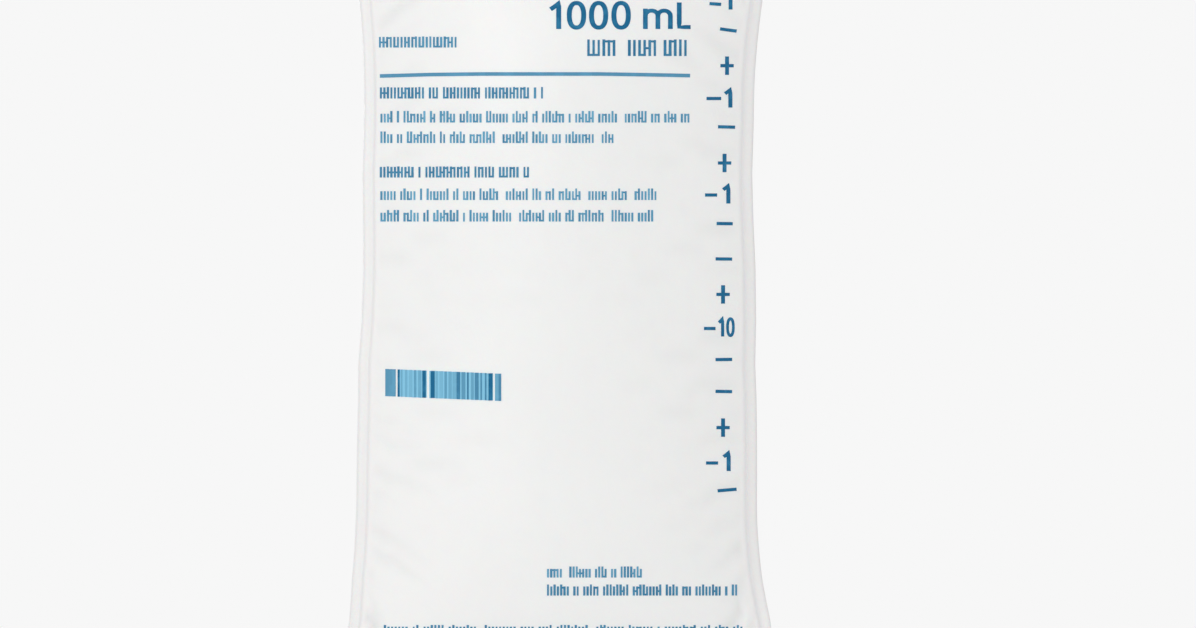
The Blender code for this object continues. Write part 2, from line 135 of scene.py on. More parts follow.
class NodeGraph:
    """Adds nodes to one node tree."""

    def __init__(self, tree: NodeTree) -> None:
        """Keep the tree that nodes are added to."""
        self.tree = tree

    def feed(self, socket: NodeSocket, value: object) -> None:
        """Link signals to a socket, or set its value.

        Args:
            socket: the input socket.
            value: a signal, a list of signals, or a plain value.
        """
        for item in value if isinstance(value, list) else [value]:
            if isinstance(item, Signal):
                self.tree.links.new(item.socket, socket)
            else:
                socket.default_value = item

    def node(self, kind: str, settings: dict | None = None, inputs: dict | None = None,
             output: int | str = 0) -> Signal:
        """Add one node.

        Args:
            kind: the node's type.
            settings: its properties, which are set first.
            inputs: values or signals by the socket's name or index.
            output: the output to return.

        Returns:
            The chosen output as a signal.
        """
        made = self.tree.nodes.new(kind)
        for name, value in (settings or {}).items():
            setattr(made, name, value)
        for key, value in (inputs or {}).items():
            self.feed(made.inputs[key], value)
        return Signal(self, made.outputs[output])

    def math(self, operation: str, first: object, second: object = 0.0) -> Signal:
        """Return a Math node's result."""
        return self.node("ShaderNodeMath", {"operation": operation}, {0: first, 1: second})

    def vector(self, operation: str, first: object, second: object) -> Signal:
        """Return a Vector Math node's vector."""
        return self.node("ShaderNodeVectorMath", {"operation": operation}, {0: first, 1: second})

    def scaled(self, vector: object, factor: object) -> Signal:
        """Return a vector times a number."""
        return self.node("ShaderNodeVectorMath", {"operation": "SCALE"}, {0: vector, "Scale": factor})

    def combine(self, x: object = 0.0, y: object = 0.0, z: object = 0.0) -> Signal:
        """Return a vector of three numbers."""
        return self.node("ShaderNodeCombineXYZ", None, {0: x, 1: y, 2: z})

    def ramp(self, value: Signal, low: float, high: float) -> Signal:
        """Return a smooth 0 to 1 ramp of a value between two limits."""
        return self.node("ShaderNodeMapRange", {"interpolation_type": "SMOOTHSTEP"},
                         {"Value": value, "From Min": low, "From Max": high})

    def end(self, kind: str, signal: Signal) -> None:
        """Link a signal to an output node of that kind."""
        self.tree.links.new(signal.socket, self.tree.nodes.new(kind).inputs[0])


class Paint(NodeGraph):
    """Builds one procedural material round its Principled shader."""

    def __init__(self, name: str) -> None:
        """Start a material.

        Args:
            name: its name.
        """
        self.material = bpy.data.materials.new(name)
        self.material.use_nodes = True
        super().__init__(self.material.node_tree)
        self.shader = self.tree.nodes["Principled BSDF"]

    def attribute(self, name: str) -> Signal:
        """Return a mesh attribute's number."""
        return self.node("ShaderNodeAttribute", {"attribute_name": name}, output="Fac")

    def noise(self, scale: float, detail: float, stretch: Place = (1.0, 1.0, 1.0)) -> Signal:
        """Return noise on Object coordinates, spread to 0 to 1.

        Args:
            scale: features a metre.
            detail: the noise's detail.
            stretch: factors on the coordinates.

        Returns:
            The noise as a signal.
        """
        where = self.vector("MULTIPLY", self.node("ShaderNodeTexCoord", output="Object"), stretch)
        raw = self.node("ShaderNodeTexNoise", None,
                        {"Vector": where, "Scale": scale, "Detail": detail})
        return self.ramp(raw, 0.3, 0.7)

    def mix(self, factor: object, first: object, second: object) -> Signal:
        """Return a colour between two colours."""
        one, two = ((*c, 1.0) if isinstance(c, tuple) else c for c in (first, second))
        return self.node("ShaderNodeMix", {"data_type": "RGBA"}, {0: factor, 6: one, 7: two}, 2)

    def finish(self, colour: object, roughness: object, relief: Signal, strength: float,
               distance: float, **constants: float) -> Material:
        """Feed the Principled shader and return the material.

        Args:
            colour: the base colour.
            roughness: the roughness.
            relief: the bump's height, 0 to 1.
            strength: the bump's strength.
            distance: the bump's height in metres.
            constants: values for the shader's other sockets, with _ for a space.

        Returns:
            The finished material.
        """
        bump = self.node("ShaderNodeBump", None,
                         {"Height": relief, "Strength": strength, "Distance": distance})
        self.feed(self.shader.inputs["Base Color"], colour)
        self.feed(self.shader.inputs["Roughness"], roughness)
        self.feed(self.shader.inputs["Normal"], bump)
        for name, value in constants.items():
            self.feed(self.shader.inputs[name.replace("_", " ")], value)
        return self.material


class Growth(NodeGraph):
    """Builds one Geometry Nodes tree and applies it to objects."""

    def __init__(self, name: str, **inputs: str) -> None:
        """Start a tree.

        Args:
            name: the tree's name.
            inputs: the names of its inputs, by the kind of their sockets.
        """
        super().__init__(bpy.data.node_groups.new(name, "GeometryNodeTree"))
        self.tree.interface.new_socket("Geometry", in_out="OUTPUT", socket_type="NodeSocketGeometry")
        for kind, labels in inputs.items():
            for label in labels.split():
                self.tree.interface.new_socket(label, in_out="INPUT", socket_type="NodeSocket" + kind)
        self.group = self.tree.nodes.new("NodeGroupInput")

    def size(self, label: str) -> Signal:
        """Return one of the tree's inputs."""
        return Signal(self, self.group.outputs[label])

    def random(self, low: object, high: object, seed: object) -> Signal:
        """Return a random number for each point, from low to high."""
        return self.node("FunctionNodeRandomValue", {"data_type": "FLOAT"},
                         {2: low, 3: high, "Seed": seed}, 1)

    def store(self, geometry: Signal, name: str, value: Signal, domain: str = "POINT") -> Signal:
        """Return a geometry that carries a number as an attribute."""
        return self.node("GeometryNodeStoreNamedAttribute", {"domain": domain},
                         {"Geometry": geometry, "Name": name, "Value": value})

    def read(self, name: str) -> Signal:
        """Return a geometry's attribute."""
        return self.node("GeometryNodeInputNamedAttribute", {"data_type": "FLOAT"}, {"Name": name})

    def line(self, step: Signal) -> Signal:
        """Return a line of points at that step, from the tree's inputs Count and Start."""
        ends = {"Count": self.size("Count"), "Start Location": self.size("Start"), "Offset": step}
        return self.node("GeometryNodeMeshLine", {"mode": "OFFSET"}, ends)

    def moved(self, geometry: Signal, **where: Signal) -> Signal:
        """Return a geometry whose points are set to a Position, or moved by an Offset."""
        return self.node("GeometryNodeSetPosition", None, {"Geometry": geometry, **where})

    def box(self, low_z: float, levels: int) -> Signal:
        """Return a unit box whose front carries the attribute face = 1.

        Args:
            low_z: the height of its underside.
            levels: its rows of points, from the underside up.

        Returns:
            The box.
        """
        sides = {"Size": (1.0, 1.0, 1.0), "Vertices X": 2, "Vertices Y": 2, "Vertices Z": levels}
        cube = self.node("GeometryNodeMeshCube", None, sides)
        across = self.node("ShaderNodeSeparateXYZ", None,
                           {0: self.node("GeometryNodeInputPosition")}, 1)
        tagged = self.store(cube, "face", across < 0.0)
        return self.node("GeometryNodeTransform", None,
                         {"Geometry": tagged, "Translation": (0.0, 0.0, low_z + 0.5)})

    def instances(self, points: Signal, shape: Signal, scale: Signal, **more: object) -> Signal:
        """Return a shape on each point, at a scale."""
        return self.node("GeometryNodeInstanceOnPoints", None,
                         {"Points": points, "Instance": shape, "Scale": scale, **more})

    def boxes(self, points: Signal, low_z: float, levels: int, sizes: tuple[object, object],
              **more: object) -> Signal:
        """Return a thin box of a width and a height on each point, with low_z in heights."""
        width, height = sizes
        return self.instances(points, self.box(low_z, levels), self.combine(width, THIN, height), **more)

    def close(self, geometry: Signal, material: Signal) -> None:
        """End the tree in Realize Instances and Set Material.

        Args:
            geometry: the finished geometry.
            material: its material.
        """
        real = self.node("GeometryNodeRealizeInstances", None, {"Geometry": geometry})
        worn = {"Geometry": real, "Material": material}
        self.end("NodeGroupOutput", self.node("GeometryNodeSetMaterial", None, worn))

    def apply(self, obj: Object, values: dict[str, object]) -> None:
        """Put the tree on an object as a modifier, with its inputs set.

        Args:
            obj: the object.
            values: input values by name.
        """
        modifier = obj.modifiers.new(self.tree.name, "NODES")
        modifier.node_group = self.tree
        for item in self.tree.interface.items_tree:
            if item.in_out == "INPUT" and item.name in values:
                modifier[item.identifier] = values[item.name]


# Meshes


def add_object(name: str, data: ID, *materials: Material) -> Object:
    """Link a mesh, a light or a camera as an object at the origin.

    Args:
        name: the object's name.
        data: its data.
        materials: its materials.

    Returns:
        The object.
    """
    made = bpy.data.objects.new(name, data)
    bpy.context.scene.collection.objects.link(made)
    for material in materials:
        data.materials.append(material)
    return made


def make_mesh(name: str, points: list, faces: list) -> Mesh:
    """Return a mesh.

    Args:
        name: its name.
        points: its points.
        faces: the numbers of each face's points.

    Returns:
        The mesh.
    """
    mesh = bpy.data.meshes.new(name)
    mesh.from_pydata(points, [], faces)
    return mesh


def points_of(mesh: Mesh) -> ndarray:
    """Return a mesh's points.

    Args:
        mesh: the mesh.

    Returns:
        The points, one a row.
    """
    places = np.zeros(len(mesh.vertices) * 3, np.float32)
    mesh.vertices.foreach_get("co", places)
    return places.reshape(-1, 3).astype(float)


def grid_faces(numbers: ndarray) -> ndarray:
    """Return the faces between a grid's numbered points, one a row."""
    corners = (numbers[:-1, :-1], numbers[1:, :-1], numbers[1:, 1:], numbers[:-1, 1:])
    return np.stack(corners, axis=-1).reshape(-1, 4)


def settle(obj: Object) -> None:
    """Turn an object's modifiers into its plain mesh.

    Args:
        obj: the object.
    """
    bpy.context.view_layer.update()
    shape = obj.evaluated_get(bpy.context.evaluated_depsgraph_get())
    mesh = bpy.data.meshes.new_from_object(shape)
    obj.modifiers.clear()
    old, obj.data = obj.data, mesh
    bpy.data.meshes.remove(old)
    mesh.name = obj.name


def tidy_normals(mesh: Mesh, merge: float = 0.000002) -> None:
    """Merge doubles and turn the faces of a closed mesh outwards.

    Args:
        mesh: the mesh.
        merge: the distance under which points are merged, in metres.
    """
    bm = bmesh.new()
    bm.from_mesh(mesh)
    bmesh.ops.remove_doubles(bm, verts=bm.verts, dist=merge)
    bmesh.ops.recalc_face_normals(bm, faces=bm.faces)
    if bm.calc_volume(signed=True) < 0.0:
        bmesh.ops.reverse_faces(bm, faces=bm.faces)
    bm.to_mesh(mesh)
    bm.free()


def shade(mesh: Mesh, degrees: float = SHARP_EDGE) -> None:
    """Shade a mesh smooth and keep its real edges sharp."""
    mesh.shade_smooth()
    mesh.set_sharp_from_angle(angle=math.radians(degrees))


def filleted(corners: list[Corner], closed: bool, cuts: int = 6) -> list[Point]:
    """Return a profile whose corners are rounded.

    Args:
        corners: radius, height and fillet of each corner, in metres.
        closed: whether the last corner joins the first.
        cuts: steps in each rounding.

    Returns:
        The profile's points.
    """
    points = []
    for index, (r, z, fillet) in enumerate(corners):
        at_end = not closed and index in (0, len(corners) - 1)
        if at_end or fillet <= 0.0:
            points.append((r, z))
            continue
        corner = np.array((r, z))
        to_before = np.array(corners[index - 1][:2]) - corner
        to_after = np.array(corners[(index + 1) % len(corners)][:2]) - corner
        spans = [float(np.hypot(*to_before)), float(np.hypot(*to_after))]
        reach = min(fillet, LONGEST_FILLET * spans[0], LONGEST_FILLET * spans[1])
        start, end = corner + to_before * reach / spans[0], corner + to_after * reach / spans[1]
        for t in np.linspace(0.0, 1.0, cuts + 1):
            at = (1.0 - t) ** 2 * start + 2.0 * t * (1.0 - t) * corner + t ** 2 * end
            points.append((float(at[0]), float(at[1])))
    return points


def lathe(name: str, corners: list[Corner], closed: bool, x: float,
          steps: int = 80) -> Mesh:
    """Return a turned mesh: a filleted profile swept round an upright axis.

    Args:
        name: the mesh's name.
        corners: the radius, height and fillet of the profile's corners.
        closed: whether the profile is a loop.
        x: the axis's place across the bag.
        steps: steps round the axis.

    Returns:
        The closed mesh.
    """
    profile = filleted(corners, closed)
    points, rings = [], []
    for r, z in profile:
        count = 1 if r < ON_AXIS else steps
        rings.append([len(points) + i for i in range(count)])
        for i in range(count):
            turn = math.tau * i / steps
            points.append((x + r * math.cos(turn), r * math.sin(turn), z))
    faces = []
    for low, high in zip(rings, rings[1:] + rings[:1] if closed else rings[1:]):
        for i in range(steps):
            j = (i + 1) % steps
            numbers = (low[i % len(low)], low[j % len(low)], high[j % len(high)], high[i % len(high)])
            face = list(dict.fromkeys(numbers))
            if len(face) > 2:
                faces.append(face)
    mesh = make_mesh(name, points, faces)
    tidy_normals(mesh)
    shade(mesh)
    return mesh


def arc(centre: Point, radius: float, start: float, end: float, count: int) -> list[Point]:
    """Return count + 1 points along an arc, from one angle in degrees to another."""
    turns = np.radians(np.linspace(start, end, count + 1))
    return [(centre[0] + radius * math.cos(t), centre[1] + radius * math.sin(t)) for t in turns]


def round_bar(centre: Point, half: float, radius: float, count: int) -> list[Point]:
    """Return a level bar with round ends, whose centres are half to each side."""
    right = arc((centre[0] + half, centre[1]), radius, -90.0, 90.0, count)
    return right + arc((centre[0] - half, centre[1]), radius, 90.0, 270.0, count)


def plate(name: str, outline: list[Point], thickness: float, bevel: float = 0.0) -> Mesh:
    """Return a flat upright plate, an outline in X and Z given a thickness along Y.

    Args:
        name: the mesh's name.
        outline: the outline's points, in order.
        thickness: the plate's thickness.
        bevel: the rounding of its edges.

    Returns:
        The closed mesh.
    """
    bm = bmesh.new()
    front = [bm.verts.new((x, -thickness / 2.0, z)) for x, z in outline]
    back = [bm.verts.new((x, thickness / 2.0, z)) for x, z in outline]
    bm.faces.new(front)
    bm.faces.new(back[::-1])
    for i in range(len(outline)):
        j = (i + 1) % len(outline)
        bm.faces.new((front[i], back[i], back[j], front[j]))
    bmesh.ops.recalc_face_normals(bm, faces=bm.faces)
    if bevel > 0.0:
        rims = [e for e in bm.edges if len({round(v.co.y, 6) for v in e.verts}) == 1]
        bmesh.ops.bevel(bm, geom=rims, offset=bevel, segments=3, profile=0.5, affect="EDGES")
    bmesh.ops.triangulate(bm, faces=[f for f in bm.faces if len(f.verts) > 4])
    mesh = bpy.data.meshes.new(name)
    bm.to_mesh(mesh)
    bm.free()
    return mesh


def join_meshes(name: str, meshes: list[Mesh]) -> Mesh:
    """Return one mesh that holds several.

    Args:
        name: its name.
        meshes: what it holds.

    Returns:
        The new mesh.
    """
    bm = bmesh.new()
    for mesh in meshes:
        bm.from_mesh(mesh)
    made = bpy.data.meshes.new(name)
    bm.to_mesh(made)
    bm.free()
    return made


def ramp01(value: ndarray) -> ndarray:
    """Return a soft 0 to 1 ramp."""
    value = np.clip(value, 0.0, 1.0)
    return value * value * (3.0 - 2.0 * value)


# Finishes


@dataclass(frozen=True)
class FilmFinish:
    """Milky satin film: faint clouding, a fine cast grain, greyer welds, painted shade in folds and lines.

    light is the film's colour where the clouding is palest. scales are features a metre of the
    clouding, the ripples and the grain. bump is the relief's strength and height, and glow the
    share of light that passes under the surface and how far.
    """

    name: str = "milky_film"
    colour: Colour = (0.862, 0.866, 0.858)
    light: Colour = (0.884, 0.884, 0.876)
    weld: Colour = (0.832, 0.836, 0.834)
    # line: painted shade, darker lines beside the welds and at the rim
    line: Colour = (0.715, 0.722, 0.732)
    # fold: painted shade in the folds
    fold: Colour = (0.785, 0.787, 0.782)
    roughness: float = 0.40
    scales: tuple[float, ...] = (14.0, 75.0, 900.0)
    bump: tuple[float, ...] = (0.25, 0.00025)
    glow: tuple[float, ...] = (0.12, 0.004)
    ior: float = 1.47

    def make(self) -> Material:
        """Return the material; the attributes weld, line and fold turn the film to those colours."""
        paint = Paint(self.name)
        cloud_scale, ripple_scale, grain_scale = self.scales
        cloud = paint.noise(cloud_scale, 3.0, (1.0, 1.0, 0.45))
        ripple = paint.noise(ripple_scale, 2.0, (1.0, 1.0, 0.6))
        grain = paint.noise(grain_scale, 1.0)
        body = paint.mix(cloud, self.colour, self.light)
        # Painted shade in the folds
        body = paint.mix(paint.attribute("fold"), body, self.fold)
        welded = paint.mix(paint.attribute("weld") * (0.75 + 0.25 * grain), body, self.weld)
        # Painted shade: darker lines beside the welds and at the rim
        with_painted_shade = paint.mix(paint.attribute("line"), welded, self.line)
        rough = self.roughness + 0.07 * (grain - 0.5) - 0.08 * paint.attribute("weld")
        return paint.finish(with_painted_shade, rough, 0.7 * ripple + 0.3 * grain, *self.bump,
                            Subsurface_Weight=self.glow[0], Subsurface_Scale=self.glow[1], IOR=self.ior)


@dataclass(frozen=True)
class InkFinish:
    """Flexible print ink: deep blue, a little uneven, with paler patches where it is thin.

    scales are features a metre of the patches and of the fine grain. bump is the relief's strength
    and height.
    """

    name: str = "print_ink"
    colour: Colour = (0.0035, 0.126, 0.266)
    pale: Colour = (0.030, 0.215, 0.390)
    light: Colour = (0.245, 0.580, 0.780)
    roughness: float = 0.58
    gloss: float = 0.22
    scales: tuple[float, ...] = (260.0, 2200.0)
    bump: tuple[float, ...] = (0.15, 0.00005)

    def make(self) -> Material:
        """Return the material; the attribute tone turns the ink towards its lighter tint."""
        paint = Paint(self.name)
        patch_scale, fine_scale = self.scales
        patch = paint.noise(patch_scale, 3.0)
        fine = paint.noise(fine_scale, 1.0)
        base = paint.mix(0.55 * paint.ramp(patch, 0.45, 1.0), self.colour, self.pale)
        toned = paint.mix(paint.attribute("tone"), base, self.light)
        return paint.finish(toned, self.roughness + 0.10 * (fine - 0.5), fine, *self.bump,
                            Specular_IOR_Level=self.gloss)


@dataclass(frozen=True)
class PlasticFinish:
    """Injection-moulded plastic: slight clouding, soft sink ripples and a fine spark texture.

    spark is the strength of the relief, and height its height. glow is the share of light that
    passes under the surface, and coat the level of the sheen. scales are features a metre of the
    clouding, the ripples and the texture.
    """

    name: str
    colour: Colour
    shadow: Colour
    roughness: float
    spark: float = 0.10
    glow: float = 0.0
    coat: float = 0.0
    scales: tuple[float, ...] = (130.0, 240.0, 5200.0)
    height: float = 0.00018
    glow_reach: float = 0.002
    ior: float = 1.49

    def make(self) -> Material:
        """Return the material."""
        paint = Paint(self.name)
        cloud_scale, sink_scale, spark_scale = self.scales
        cloud = paint.noise(cloud_scale, 3.0)
        sink = paint.noise(sink_scale, 1.0, (1.0, 1.0, 0.35))
        spark = paint.noise(spark_scale, 1.0)
        colour = paint.mix(0.8 * cloud, self.colour, self.shadow)
        rough = self.roughness + 0.10 * (spark - 0.5) + 0.06 * (cloud - 0.5)
        return paint.finish(colour, rough, 0.55 * sink + 0.45 * spark, self.spark, self.height,
                            Subsurface_Weight=self.glow, Subsurface_Scale=self.glow_reach,
                            Coat_Weight=self.coat, IOR=self.ior)


@dataclass(frozen=True)
class RubberFinish:
    """Matt natural rubber with pale bloom and dark specks.

    scales are features a metre of the bloom and the pits. bump is the relief's strength and height.
    """

    name: str = "septum_rubber"
    colour: Colour = (0.430, 0.350, 0.255)
    bloom: Colour = (0.560, 0.480, 0.380)
    speck: Colour = (0.200, 0.155, 0.110)
    roughness: float = 0.72
    scales: tuple[float, ...] = (420.0, 3600.0)
    bump: tuple[float, ...] = (0.35, 0.00015)

    def make(self) -> Material:
        """Return the material."""
        paint = Paint(self.name)
        bloom_scale, pit_scale = self.scales
        bloom = paint.noise(bloom_scale, 4.0)
        pits = paint.noise(pit_scale, 2.0)
        base = paint.mix(bloom, self.colour, self.bloom)
        colour = paint.mix(0.7 * paint.ramp(pits, 0.72, 0.95), base, self.speck)
        return paint.finish(colour, self.roughness + 0.12 * (bloom - 0.5), pits, *self.bump)


# The bag


@dataclass(frozen=True)
class FilmShape:
    """The filled pillow as a rule: two films of fixed width, welded all round and pushed apart.

    The sizes are those of the solid, in metres. fullest is how far below the top weld the bag is
    deepest. lean lists, by height, how far the bag's middle line wanders from X = 0.
    """

    film_width: float = 0.140
    half_film: float = 0.0004
    side_weld: float = 0.004
    header_top: float = 0.009
    fill_top: float = -0.023
    fill_bottom: float = -0.289
    bottom: float = -0.298
    top_corner: float = 0.010
    bottom_corner: float = 0.012
    fill_corner: float = 0.014
    upper_swell: float = 0.027
    lower_swell: float = 0.024
    fullest: float = 0.097
    top_ease: float = 0.075
    bottom_ease: float = 0.060
    ease_power: float = 0.55
    lean: tuple[Point, ...] = (
        (-0.298, 0.0), (-0.272, 0.0006), (-0.258, -0.0003), (-0.240, -0.0005), (-0.214, -0.0003),
        (-0.196, -0.0002), (-0.185, -0.0004), (-0.170, 0.0003), (-0.152, 0.0005), (-0.136, 0.0001),
        (-0.120, -0.0002), (-0.103, 0.0003), (-0.085, 0.0005), (-0.062, 0.0010), (-0.040, 0.0006),
        (-0.023, 0.0), (0.009, 0.0))

    def swell(self, z: ndarray) -> ndarray:
        """Return how far the film stands out on the centre line.

        Args:
            z: heights.

        Returns:
            The film's distance from the middle plane at each height.
        """
        low = self.fill_bottom + self.bottom_ease
        blend = ramp01((z - low) / (self.fill_top - self.fullest - low))
        out = self.lower_swell + (self.upper_swell - self.lower_swell) * blend
        for distance, reach in ((self.fill_top - z, self.top_ease),
                                (z - self.fill_bottom, self.bottom_ease)):
            share = np.clip(distance / reach, 0.0, 1.0)
            out = out * (1.0 - (1.0 - share) ** 2) ** self.ease_power
        return out

    def half_chord(self, z: ndarray) -> ndarray:
        """Return half the width between the side welds, across which the film is a low arc."""
        spread = np.maximum(self.film_width ** 2 - 4.0 * SHALLOW_ARC * self.swell(z) ** 2, 0.0)
        return (self.film_width + np.sqrt(spread)) / 4.0

    @staticmethod
    def corner_loss(distance: ndarray, radius: float) -> ndarray:
        """Return what a rounded corner takes off the half width at a distance from the end."""
        inside = np.clip(radius - np.maximum(distance, 0.0), 0.0, radius)
        return radius - np.sqrt(radius ** 2 - inside ** 2)

    def outer(self, z: ndarray) -> ndarray:
        """Return half the outline's width at each height."""
        width = self.half_chord(z) + self.side_weld - self.corner_loss(self.header_top - z, self.top_corner)
        return width - self.corner_loss(z - self.bottom, self.bottom_corner)

    def inner(self, z: ndarray) -> ndarray:
        """Return half the width of the part that holds fluid.

        Args:
            z: heights.

        Returns:
            Half the width at each height.
        """
        nearest = self.from_end(z)
        inside = self.half_chord(z) - self.corner_loss(nearest, self.fill_corner)
        return np.where(nearest < 0.0, self.outer(z) - self.side_weld, inside)

    def middle(self, z: ndarray) -> ndarray:
        """Return the X of the bag's middle line at each height."""
        places, shifts = zip(*self.lean)
        return np.interp(z, places, shifts)

    def from_end(self, z: ndarray) -> ndarray:
        """Return the distance from the nearer end weld into the fluid, negative past it."""
        return np.minimum(self.fill_top - z, z - self.fill_bottom)

    def from_rim(self, x: ndarray, z: ndarray) -> ndarray:
        """Return the distance from the outline's edge, into the bag."""
        from_ends = np.minimum(self.header_top - z, z - self.bottom)
        return np.minimum(self.outer(z) - np.abs(x), from_ends)

    def pillow(self, x: ndarray, z: ndarray) -> ndarray:
        """Return the filled film's distance from the middle plane, without folds.

        Args:
            x: places across, from the bag's middle line.
            z: heights.

        Returns:
            The distances in metres.
        """
        swell = np.maximum(self.swell(z), LEAST_SWELL)
        edge = self.inner(z)
        radius = (edge ** 2 + swell ** 2) / (2.0 * swell)
        rise = np.sqrt(np.maximum(radius ** 2 - x ** 2, 0.0)) - (radius - swell)
        return np.where(np.abs(x) < edge, np.maximum(rise, 0.0), 0.0)


@dataclass(frozen=True)
class SoftLine:
    """A soft-edged line along an edge: a bead of the film, or a line of painted shade.

    Attributes:
        level: its height in metres, or the strength of its painted shade from 0 to 1.
        place: its distance from the edge in metres.
        width: its width in metres.
    """

    level: float
    place: float
    width: float

    def at(self, distance: ndarray) -> ndarray:
        """Return its level at distances from the edge."""
        return self.level * np.exp(-((distance - self.place) / self.width) ** 2)


@dataclass(frozen=True)
class Inflation:
    """The Cloth simulation that blows the film up inside its welds, so that its spare length gathers.

    quality, mass, stretch, shear, bending, damping and pressure are the simulation's own settings,
    and sizes are in metres. spread is the angle over which the columns are spaced, so that they are
    closer at the sides. crowding is how much closer together the rows are beside the end welds, and
    inset how far in the first and last rows lie. unevenness is that of the film at first, which
    seed makes. slack is how much longer than its place the film is cut beside the end welds, and
    side_slack the share of it beside the side welds. It fades within end_reach and side_reach. kept
    is the share of the slow, even swelling that stays, so that the bag keeps its form. most is how
    far a point may move, and by_axis are factors on that. fold_blur is the grid's steps over which
    a fold is told from what is round it, and swell_blur those for the swelling. fold_depth is the
    depth of a fold whose painted shade is full, and fade how far from the welds the moves are full.
    """

    columns: int = 64
    rows: int = 110
    spread: float = math.radians(62.0)
    crowding: float = 0.06
    inset: float = 0.0002
    unevenness: float = 0.00006
    seed: int = 3
    slack: float = 0.046
    side_slack: float = 0.17
    end_reach: float = 0.030
    side_reach: float = 0.012
    quality: int = 8
    mass: float = 0.02
    stretch: float = 30.0
    shear: float = 9.0
    bending: float = 0.02
    damping: float = 5.0
    pressure: float = 100.0
    frames: int = 20
    kept: float = 0.35
    most: float = 0.0030
    by_axis: Place = (0.5, 1.25, 0.5)
    fold_blur: int = 3
    swell_blur: int = 5
    fold_depth: float = 0.0007
    fade: float = 0.0022

    def heights(self, shape: FilmShape) -> ndarray:
        """Return the rows' heights, closer together towards the end welds.

        Args:
            shape: the bag's rule.

        Returns:
            The heights, from the top down.
        """
        v = np.linspace(0.0, 1.0, self.rows + 1)
        span = shape.fill_top - shape.fill_bottom - 2.0 * self.inset
        return shape.fill_top - self.inset - span * (v - self.crowding * np.sin(math.tau * v))

    def places(self, shape: FilmShape) -> tuple[ndarray, ndarray]:
        """Return the grid's places.

        Args:
            shape: the bag's rule.

        Returns:
            Its places across the bag and its heights, by row and column.
        """
        share = np.sin(self.spread * np.linspace(-1.0, 1.0, self.columns + 1)) / math.sin(self.spread)
        zs = np.repeat(self.heights(shape)[:, None], self.columns + 1, axis=1)
        return shape.inner(zs) * share[None, :], zs

    def closed_film(self, shape: FilmShape) -> tuple[Object, ndarray, ndarray]:
        """Return both films as a closed object that shares its points at the welds.

        Args:
            shape: the bag's rule.

        Returns:
            The object, its points, and the points' numbers for both films by row and column.
        """
        xs, zs = self.places(shape)
        seam = np.zeros(xs.shape, bool)
        seam[[0, -1], :] = seam[:, [0, -1]] = True
        chance = np.random.default_rng(self.seed)
        out = np.where(seam, 0.0, shape.pillow(xs, zs))
        films = []
        for sign in (-1.0, 1.0):
            uneven = np.where(seam, 0.0, chance.normal(0.0, self.unevenness, xs.shape))
            films.append(np.stack((xs, sign * (out + uneven), zs), axis=-1))
        front = np.arange(xs.size).reshape(xs.shape)
        behind = front.copy()
        behind[~seam] = xs.size + np.arange((~seam).sum())
        points = np.concatenate((films[0].reshape(-1, 3), films[1][~seam]))
        faces = grid_faces(front).tolist() + grid_faces(behind)[:, ::-1].tolist()
        made = add_object("film_cloth", make_mesh("film_cloth", points.tolist(), faces))
        made.vertex_groups.new(name="seam").add(front[seam].tolist(), 1.0, "REPLACE")
        loose = np.exp(-shape.from_end(zs) / self.end_reach)
        loose = loose + self.side_slack * np.exp(-(shape.inner(zs) - np.abs(xs)) / self.side_reach)
        weights = 1.0 - np.clip(loose, 0.0, 1.0).reshape(-1)
        taut = made.vertex_groups.new(name="taut")
        for numbers in (front, behind):
            for number, weight in zip(numbers.reshape(-1).tolist(), weights.tolist()):
                taut.add([number], weight, "REPLACE")
        return made, points, np.stack((front, behind))

    def run(self, film: Object) -> ndarray:
        """Run the simulation and remove its object.

        Args:
            film: the closed film.

        Returns:
            The points that it ends with.
        """
        cloth = film.modifiers.new("Cloth", "CLOTH")
        rules = cloth.settings
        rules.quality, rules.mass = self.quality, self.mass
        rules.tension_stiffness = rules.compression_stiffness = self.stretch
        rules.shear_stiffness, rules.bending_stiffness = self.shear, self.bending
        rules.tension_damping = rules.compression_damping = rules.shear_damping = self.damping
        rules.vertex_group_mass = "seam"
        rules.vertex_group_shrink = "taut"
        rules.shrink_min, rules.shrink_max = -self.slack, 0.0
        rules.use_pressure = True
        rules.uniform_pressure_force = self.pressure
        rules.effector_weights.gravity = 0.0
        cloth.collision_settings.use_collision = False
        cloth.point_cache.frame_start, cloth.point_cache.frame_end = 1, self.frames
        scene = bpy.context.scene
        for number in range(1, self.frames + 1):
            scene.frame_set(number)
        blown = points_of(film.evaluated_get(bpy.context.evaluated_depsgraph_get()).data)
        bpy.data.objects.remove(film)
        scene.frame_set(1)
        return blown

    def moves(self, shape: FilmShape) -> ndarray:
        """Args:
            shape: the bag's rule.

        Returns:
            By film, row and column: the moves along X, Y and Z, and from 0 to 1 how deep in a fold
            the film is, which sets the painted shade in the folds.
        """
        film, points, numbers = self.closed_film(shape)
        moved = (self.run(film) - points)[numbers]
        out = moved[..., 1:2] * np.array((-1.0, 1.0)).reshape(2, 1, 1, 1)
        deep = np.clip((self.blurred(out, self.fold_blur) - out) / self.fold_depth, 0.0, 1.0)
        moved = moved - (1.0 - self.kept) * self.blurred(moved, self.swell_blur)
        moved = np.clip(moved, -self.most, self.most) * self.by_axis
        return np.concatenate((moved, deep), axis=-1)

    @staticmethod
    def blurred(values: ndarray, reach: int) -> ndarray:
        """Return values smoothed along their rows and columns.

        Args:
            values: values by film, row and column.
            reach: the steps over which they are smoothed.

        Returns:
            The smoothed values.
        """
        most = 3 * reach
        taps = np.exp(-0.5 * (np.arange(-most, most + 1) / reach) ** 2)
        for axis in (1, 2):
            margin = [(most, most) if axis == number else (0, 0) for number in range(values.ndim)]
            wide = np.pad(values, margin, mode="edge")
            places = np.arange(values.shape[axis])
            values = sum(tap * np.take(wide, places + i, axis=axis)
                         for i, tap in enumerate(taps / taps.sum()))
        return values

